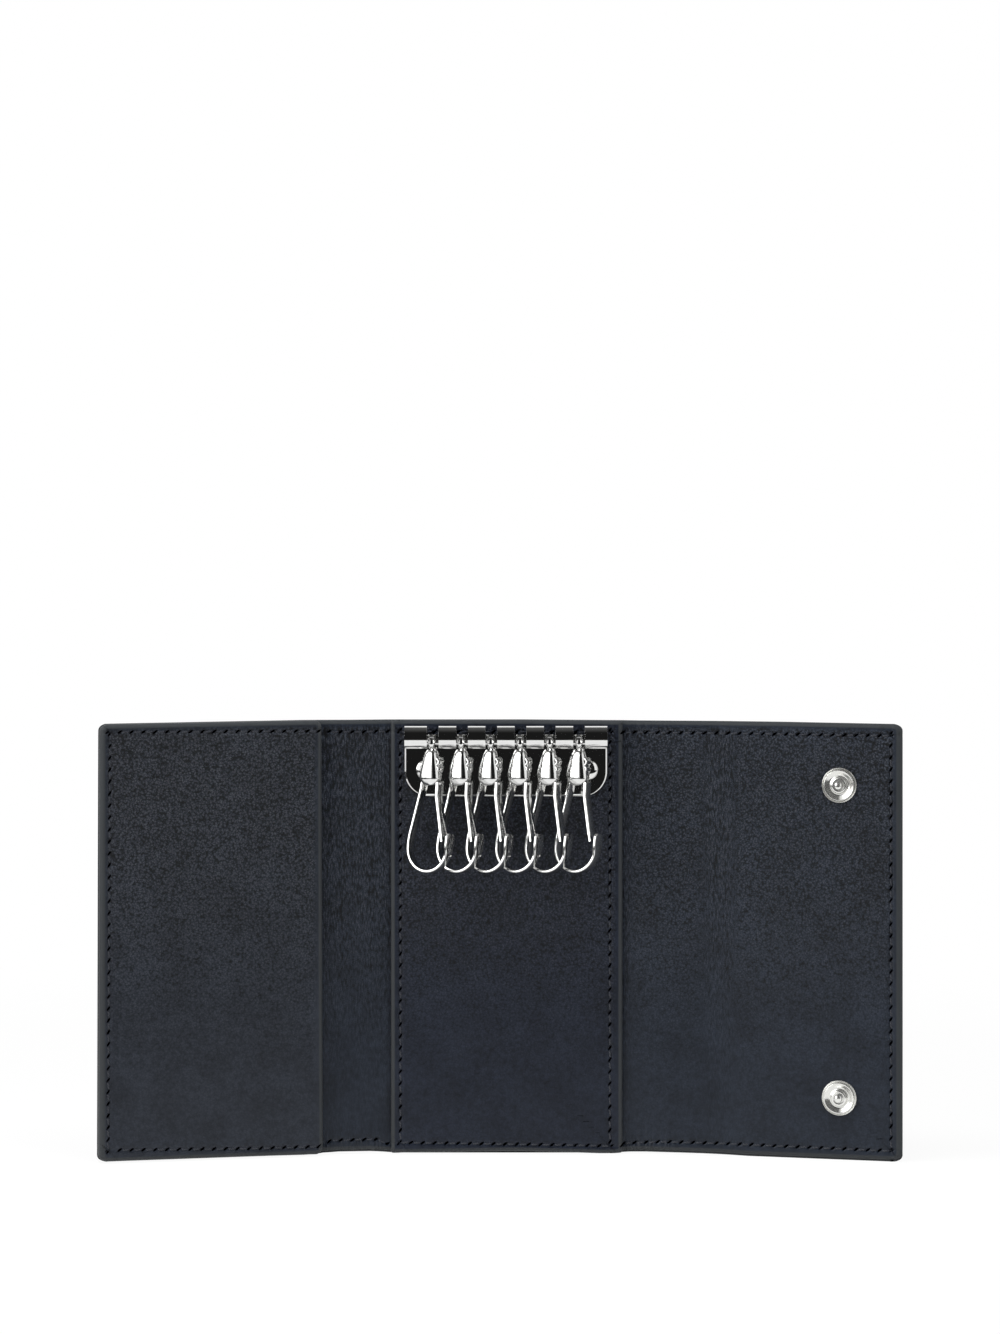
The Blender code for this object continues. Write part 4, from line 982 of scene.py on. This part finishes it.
def plate_chamfer(x, z):
    """How far the flat front is cut back toward the plate's rounded outline."""
    sideways = abs(x) - (PLATE_WIDTH / 2 - PLATE_CORNER)
    downward = PLATE_TOP - PLATE_HEIGHT + PLATE_CORNER - z
    if downward <= 0:
        inside = PLATE_CORNER - sideways
    elif sideways <= 0:
        inside = PLATE_CORNER - downward
    else:
        inside = PLATE_CORNER - sqrt(sideways ** 2 + downward ** 2)
    return CHAMFER_DEPTH * max(0.0, 1 - inside / CHAMFER_REACH)


def dressed_plate():
    half = PLATE_WIDTH / 2
    columns = [-half, -half + CHAMFER_REACH / 2, -half + CHAMFER_REACH]
    for middle in HOOK_MIDDLES:
        columns += [middle - HOOK_NOTCH / 2, middle + HOOK_NOTCH / 2]
    columns += [half - CHAMFER_REACH, half - CHAMFER_REACH / 2, half]
    notched = [any(low < middle < high for middle in HOOK_MIDDLES)
               for low, high in zip(columns, columns[1:])]
    rows = plate_rows()
    points = []
    for outer, inner, share, turn in rows:
        for x in columns:
            place = x * share * PLATE_DRAW_SHARE + PLATE_SHIFT
            cut = plate_chamfer(x * share, inner[1]) if turn == 0 else 0.0
            points += [in_case(place, *outer), in_case(place, inner[0] + cut, inner[1])]

    def corner(column, row, side):
        return 2 * (row * len(columns) + column) + side

    def filled(column, row):
        if not (0 <= column < len(columns) - 1 and 0 <= row < len(rows) - 1):
            return False
        return not notched[column] or rows[row + 1][3] <= NOTCH_TURN

    faces = []
    for row in range(len(rows) - 1):
        for column in range(len(columns) - 1):
            if not filled(column, row):
                continue
            ring = [(column, row), (column + 1, row), (column + 1, row + 1), (column, row + 1)]
            beside = [(column, row - 1), (column + 1, row), (column, row + 1), (column - 1, row)]
            for side in (0, 1):
                faces.append([corner(*spot, side) for spot in ring])
            for number, neighbour in enumerate(beside):
                if not filled(*neighbour):
                    first, second = ring[number], ring[(number + 1) % 4]
                    faces.append([corner(*first, 0), corner(*second, 0),
                                  corner(*second, 1), corner(*first, 1)])
    used = sorted({index for face in faces for index in face})
    order = {old: new for new, old in enumerate(used)}
    shape = [points[old] for old in used], [[order[index] for index in face] for face in faces]
    made = solid("plate_skin", shape, CHROME, sharp=22)
    soften(made, PLATE_EDGE_SOFT, angle=50)
    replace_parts(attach(made, "centre"), "key_plate")


def dressed_rivets():
    under = PLATE_FRONT - RIVET_SEAT
    turns = [pi / 2 * step / RIVET_STEPS for step in range(RIVET_STEPS + 1)]
    profile = [(RIVET_RADIUS * sin(turn), under - RIVET_HEIGHT * cos(turn)) for turn in turns]
    profile += [(RIVET_RADIUS * RIVET_LIP_SHARE, under + RIVET_LIP), (SHANK_RADIUS, under + RIVET_LIP),
                (SHANK_RADIUS, SHANK_END), (0, SHANK_END)]
    for side, way in (("left", -1), ("right", 1)):
        made = solid("rivet_%s" % side, revolve(profile), CHROME, sharp=40)
        made.location = in_case(RIVET_ROW_SHIFT + way * RIVET_PITCH / 2, 0, PLATE_TOP - RIVET_DROP)
        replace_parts(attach(made, "centre"), "plate_rivet_%s" % side)


# Hooks

class Route:
    """A line in the plane of a hook, walked by straights and bends; it starts downward."""

    def __init__(self, x, drop):
        self.points, self.headings = [Vector((x, -drop))], [0.0]

    def straight(self, length, steps=1):
        for _ in range(steps):
            heading = self.headings[-1]
            self.points.append(self.points[-1] + length / steps * Vector((sin(heading), -cos(heading))))
            self.headings.append(heading)

    def bend(self, radius, turn):
        steps = max(3, round(abs(turn) / 3.0))
        part = radians(turn) / steps
        chord = 2 * radius * sin(abs(part) / 2)
        for _ in range(steps):
            middle = self.headings[-1] + part / 2
            self.points.append(self.points[-1] + chord * Vector((sin(middle), -cos(middle))))
            self.headings.append(self.headings[-1] + part)


def strip(route, thickness, widths, soft):
    """A flat strip with rounded edges along a route, its width square to the hook's plane."""
    rings = []
    for point, heading, width in zip(route.points, route.headings, widths):
        across = Vector((cos(heading), sin(heading)))
        ring = []
        for side, depth, quarter in ((-1, -1, 180), (1, -1, 270), (1, 1, 0), (-1, 1, 90)):
            for turn in (0, 30, 60, 90):
                bearing = radians(quarter + turn)
                spot = point + (side * (thickness / 2 - soft) + soft * cos(bearing)) * across
                ring.append((spot.x, depth * (width / 2 - soft) + soft * sin(bearing), spot.y))
        rings.append(ring)
    return loft(rings)


def loop_route():
    route = Route(*LOOP_START)
    route.bend(LOOP_SHOULDER, -LOOP_SPLAY * LOOP_SHOULDER_SHARE)
    route.straight(LOOP_NECK, 3)
    route.bend(LOOP_SHOULDER, -LOOP_SPLAY * (1 - LOOP_SHOULDER_SHARE))
    route.straight(LOOP_SIDE, 6)
    route.bend(LOOP_BELLY, LOOP_SPLAY)
    route.bend(LOOP_RADIUS, LOOP_TURN)
    route.straight(LOOP_END, 6)
    return route


def loop_strip():
    """The loop, wider toward its end and narrowed at the very tip."""
    route = loop_route()
    lengths = [0.0]
    for before, after in zip(route.points[::-1], route.points[-2::-1]):
        lengths.append(lengths[-1] + (after - before).length)
    widths = []
    for length in reversed(lengths):
        share = float(smooth_share(2 * (1 - length / STRIP_END_LENGTH)))
        tip = 1 - STRIP_TIP_SHARE * max(0, 1 - length / STRIP_TIP_LENGTH) ** 2
        widths.append((STRIP_WIDTH + (STRIP_END_WIDTH - STRIP_WIDTH) * share) * tip)
    return strip(route, STRIP_THICKNESS, widths, STRIP_BEVEL)


def spring_strip():
    """The strip's other end, folded inside the head's slot."""
    route = Route(*SPRING_START)
    for turn in SPRING_TURNS:
        route.bend(SPRING_RADIUS, turn)
    return strip(route, SPRING_THICKNESS, [SPRING_WIDTH] * len(route.points), STRIP_BEVEL)


def gate_strip():
    """The gate, straight down and then in to its toe beside the loop's end."""
    end = loop_route().points[-1]
    toe_x = end.x - STRIP_THICKNESS / 2 - GATE_TOE_CLEARANCE - GATE_THICKNESS / 2
    route = Route(*GATE_START)
    route.straight(GATE_STRAIGHT, 3)
    start = route.points[-1]
    reach = Vector((toe_x, end.y - GATE_TOE_DROP)) - start
    slope = float(np.arctan2(reach.x, -reach.y))
    route.headings[-1] = slope / 2
    for step in range(1, GATE_STEPS + 1):
        route.points.append(start + reach * step / GATE_STEPS)
        route.headings.append(slope)
    return strip(route, GATE_THICKNESS, [STRIP_WIDTH] * len(route.points), GATE_BEVEL)


def head_rings():
    rings = []
    for drop, wide, deep in HEAD_OUTLINE:
        ring = []
        for step in range(HEAD_STEPS):
            turn = 2 * pi * (step + 0.5) / HEAD_STEPS
            behind = sin(turn) > 0
            side_squareness = RIGHT_SQUARENESS if cos(turn) > 0 else LEFT_SQUARENESS
            squareness = BACK_SQUARENESS if behind else side_squareness
            across = HEAD_WIDTH * wide / 2 * abs(cos(turn)) ** (2 / squareness)
            depth = HEAD_BACK_DEPTH if behind else -HEAD_FRONT_DEPTH
            ring.append((across if cos(turn) > 0 else -across,
                         depth * deep * abs(sin(turn)) ** (2 / squareness), -drop))
        rings.append(ring)
    return rings


def head_mesh():
    """The teardrop head, slotted from below for the strip and the gate."""
    made = solid("head_pattern", loft(head_rings()), HOOK_CHROME, sharp=40)
    half_width, half_depth = HEAD_WIDTH / 2 + SLOT_SPARE, STRIP_WIDTH / 2 + SLOT_CLEARANCE
    middle = HEAD_SHIFT * sin(HOOK_SWIVEL) + HEAD_FORWARD * cos(HOOK_SWIVEL)
    front, back = middle - half_depth, middle + half_depth
    section = ((-half_width, front), (LIP_START, front), (LIP_END, LIP_DEPTH), (half_width, LIP_DEPTH),
               (half_width, back), (-half_width, back))
    rings = [[(across, depth, -drop) for across, depth in section]
             for drop in (HEAD_SLOT_TOP, HEAD_OUTLINE[-1][0] + SLOT_SPARE)]
    cutter = solid("head_slot", loft(rings), HOOK_CHROME)
    cut = made.modifiers.new("slot", "BOOLEAN")
    cut.operation, cut.solver, cut.object = "DIFFERENCE", "EXACT", cutter
    soften(made, HEAD_EDGE_SOFT, angle=55)
    depsgraph = bpy.context.evaluated_depsgraph_get()
    mesh = bpy.data.meshes.new_from_object(made.evaluated_get(depsgraph))
    mesh.shade_smooth()
    mesh.set_sharp_from_angle(angle=radians(40))
    for item in (made, cutter):
        bpy.data.objects.remove(item, do_unlink=True)
    return mesh


def eye_shape():
    """The ring on the bar: domed across, and narrower toward the neck."""
    arc = EYE_WIDTH / 2
    section = [(arc * sin(radians(turn)), EYE_RADIUS - arc * (1 - cos(radians(turn))))
               for turn in EYE_TURNS]
    edge = section[-1][0]
    section += [(edge, EYE_BORE), (0.0, EYE_BORE), (-edge, EYE_BORE)]
    rings = []
    for x, radius in section:
        rings.append([(x * (1 - EYE_NARROWING * float(smooth_share(EYE_NARROW_LEVEL - sin(turn)))),
                       radius * cos(turn), radius * sin(turn)) for turn in circle(EYE_STEPS)])
    return loft(rings, closed=True)


def neck_shape(place):
    """The neck with its collar, set in place under the ring."""
    rings = [[tuple(place @ Vector((radius * cos(turn), radius * sin(turn), -drop)))
              for turn in circle(NECK_STEPS)] for drop, radius in NECK_PROFILE]
    return loft(rings)


def dressed_hooks():
    lean = Matrix.Rotation(HOOK_LEAN, 4, "Y")
    tilt = Matrix.Rotation(-HOOK_TILT, 4, "X")
    swivel = lean @ Matrix.Rotation(-HOOK_SWIVEL, 4, "Z")
    head = head_mesh()
    bow_shape, tongue_shape = joined(loop_strip(), spring_strip()), gate_strip()
    neck_place = Matrix.Translation(joint_places["hook_1_swivel"] - joint_places["hook_1_swing"]) @ lean
    ring_shape = joined(eye_shape(), neck_shape(neck_place))
    for number in range(1, HOOK_COUNT + 1):
        label = "hook_%d" % number
        hung = Matrix.Translation(joint_places[label + "_swing"]) @ tilt
        turned = Matrix.Translation(joint_places[label + "_swivel"]) @ tilt @ swivel
        ring = solid(label + "_ring", ring_shape, HOOK_CHROME, sharp=50)
        cap = linked(bpy.data.objects.new(label + "_cap", head.copy()))
        bow = solid(label + "_bow", bow_shape, HOOK_CHROME, sharp=40)
        tongue = solid(label + "_tongue", tongue_shape, HOOK_CHROME, sharp=40)
        shifted = Matrix.Translation((-HEAD_SHIFT, -HEAD_FORWARD, 0)) @ turned
        for made, place, body, node_name in ((ring, hung, label + "_swinger", label + "_eye"),
                                             (cap, shifted, label, label + "_head"),
                                             (bow, turned, label, label + "_loop"),
                                             (tongue, turned, label + "_tongue", label + "_gate")):
            made.matrix_world = place
            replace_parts(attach(made, body), node_name)


# Press snaps

def rounded(profile, radius, steps=4):
    """Round the inner corners of an open (radius, y) outline."""
    made = [profile[0]]
    for before, corner, after in zip(profile, profile[1:], profile[2:]):
        before, corner, after = Vector(before), Vector(corner), Vector(after)
        back, ahead = before - corner, after - corner
        reach = min(radius, back.length * SNAP_ROUND_SHARE, ahead.length * SNAP_ROUND_SHARE)
        first, last = corner + back.normalized() * reach, corner + ahead.normalized() * reach
        for step in range(steps + 1):
            share = step / steps
            spot = first * (1 - share) ** 2 + corner * 2 * share * (1 - share) + last * share ** 2
            made.append((spot.x, spot.y))
    made.append(profile[-1])
    return made


def dressed_snaps():
    socket_outline = [(radius, SOCKET_BACK + depth) for radius, depth in SOCKET_OUTLINE]
    stud = revolve(rounded(STUD_OUTLINE, STUD_SOFT), SNAP_STEPS)
    socket = revolve(rounded(socket_outline, SOCKET_SOFT)[:-1], SNAP_STEPS, closed=True)
    for kind, shape, finish, along, body, heights in (
            ("stud", stud, SATIN, RIGHT_END - SNAP_EDGE_INSET, "right_flap", STUD_HEIGHTS),
            ("socket", socket, CHROME, SOCKET_ALONG, "left_panel", SOCKET_HEIGHTS)):
        for level, height in heights.items():
            made = solid("%s_%s" % (kind, level), shape, finish, sharp=60)
            made.matrix_world = Matrix.Translation(place_at(along, 0, height)) @ turn_at(along)
            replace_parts(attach(made, body), "snap_%s_%s" % (kind, level))


def finish_hidden_nodes():
    """The nodes that keep their own shape get a finish of their kind."""
    kinds = {"key_bar": STEEL, "centre_stiffener": BOARD, "left_panel_stiffener": BOARD}
    for part in ("rivet_burr_left", "rivet_burr_right", "snap_post_upper", "snap_post_lower",
                 "socket_eyelet_upper", "socket_eyelet_lower"):
        kinds[part] = BRASS
    for part, finish in kinds.items():
        for slot in frame["nodes"][part].material_slots:
            slot.material = finish


# Studio

def emptied(owner):
    owner.use_nodes = True
    owner.node_tree.nodes.clear()
    return owner.node_tree


def seen_rays(tree):
    """1 for the rays that show the surroundings, 0 for those that light the object."""
    path = add_node(tree, "LightPath").outputs
    camera_ray, glossy_ray, clear_ray = [Value(tree, path["Is %s Ray" % kind])
                                         for kind in ("Camera", "Glossy", "Transmission")]
    return maths("ADD", maths("ADD", camera_ray, glossy_ray, clamp=True), clear_ray, clamp=True)


def emission(tree, strength):
    return output(tree, 0, "Emission", {"Color": WHITE, "Strength": strength})


def floor_finish():
    """White to the camera and in mirrors, with a share of its lit colour near the object for shadows."""
    made = bpy.data.materials.new("white_floor")
    tree = emptied(made)
    place = output(tree, "Object", "TexCoord")
    away = output(tree, "Value", "VectorMath", {0: place}, operation="LENGTH")
    share = seen_rays(tree) * (1.0 - away.eased(SHADE_START, SHADE_END, SHADE_SHARE, 0.0))
    lit = output(tree, 0, "BsdfDiffuse", {"Color": FLOOR_COLOUR})
    surface = output(tree, 0, "MixShader", {0: share, 1: lit, 2: emission(tree, 1.0)})
    add_node(tree, "OutputMaterial", {"Surface": surface})
    return made


def flag(name, first, second, move, low, high):
    """A dark studio flag that only mirrors see, the rectangle that the edge from first to second sweeps
    when it moves; where high is given, it brightens from that edge onward."""
    finish = bpy.data.materials.new(name)
    tree = emptied(finish)
    strength = low if high is None else stored(tree, "share").eased(0.0, 1.0, low, high)
    add_node(tree, "OutputMaterial", {"Surface": emission(tree, strength)})
    first, second, move = Vector(first), Vector(second), Vector(move)
    corners = [first, second, second + move, first + move]
    made = mesh_object(name, corners, [(0, 1, 2, 3)], finish, values={"share": [0, 0, 1, 1]})
    made.visible_camera = False
    made.visible_diffuse = False
    made.visible_shadow = False
    made.visible_transmission = False


def flags():
    soft, right, near, far, tall = FLAG_SOFT, FLAG_RIGHT, FLAG_NEAR, TOP_FLAG_END, FLAG_HEIGHT
    close, lift, dark = FLOOR_FLAG_NEAR, FLOOR_FLAG_LIFT, FLAG_TONE
    west, east, fore, aft = SIDE_FLAG_LEFT, SIDE_FLAG_RIGHT, SIDE_FLAG_FRONT, SIDE_FLAG_BACK
    fade = (FLAG_LEFT - soft, 0, 0)
    for row in (("front_flag", (soft, near, 0), (right, near, 0), (0, 0, tall), dark, None),
                ("front_fade", (soft, near, tall), (soft, near, 0), fade, dark, FADE_TONE),
                ("floor_flag", (soft, near, lift), (right, near, lift), (0, close - near, 0), dark, None),
                ("floor_fade", (soft, close, lift), (soft, near, lift), fade, dark, FADE_TONE),
                ("top_flag", (soft, near, tall), (right, near, tall), (0, far - near, 0), dark, TOP_TONE),
                ("left_floor_flag", (west, aft, lift), (west, fore, lift), (east - west, 0, 0),
                 dark * 5, None),
                ("top_fade", (soft, far, tall), (soft, near, tall), fade, dark * 3, FADE_TONE)):
        flag(*row)


def lamp(name, place, sides, power, mirrored):
    data = bpy.data.lights.new(name, "AREA")
    data.shape = "RECTANGLE"
    data.size, data.size_y = sides
    data.energy = power
    made = linked(bpy.data.objects.new(name, data))
    made.location = place
    made.rotation_euler = (Vector(LAMP_TARGET) - Vector(place)).to_track_quat("-Z", "Y").to_euler()
    made.visible_camera = False
    made.visible_glossy = mirrored


def studio():
    scene = bpy.context.scene
    scene.view_settings.view_transform = "Standard"
    scene.world = bpy.data.worlds.new("studio")
    tree = emptied(scene.world)
    strength = seen_rays(tree) * (1 - WORLD_LEVEL) + WORLD_LEVEL
    glow = output(tree, 0, "Background", {"Color": WHITE, "Strength": strength})
    add_node(tree, "OutputWorld", {"Surface": glow})
    half = FLOOR_HALF
    corners = [(-half, -half, 0), (half, -half, 0), (half, half, 0), (-half, half, 0)]
    mesh_object("floor", corners, [(0, 1, 2, 3)], floor_finish())
    for row in LAMPS:
        lamp(*row)
    flags()


def camera():
    data = bpy.data.cameras.new("photo_camera")
    data.sensor_width = SENSOR
    data.sensor_fit = "AUTO"
    data.lens = FOCAL_PIXELS / PHOTO_HEIGHT * SENSOR
    data.shift_y = (HORIZON_PIXEL - PHOTO_HEIGHT / 2) / PHOTO_HEIGHT
    data.clip_start, data.clip_end = 0.05, 20.0
    made = linked(bpy.data.objects.new("photo_camera", data))
    made.location = (0.0, CASE_Y + PLATE_FRONT - CAMERA_DISTANCE, CAMERA_HEIGHT)
    made.rotation_euler = (radians(90), 0, 0)
    bpy.context.scene.camera = made


dressed_outer()
dressed_linings()
dressed_overlay()
dressed_pocket()
dressed_threads()
dressed_plate()
dressed_rivets()
dressed_hooks()
dressed_snaps()
finish_hidden_nodes()
studio()
camera()
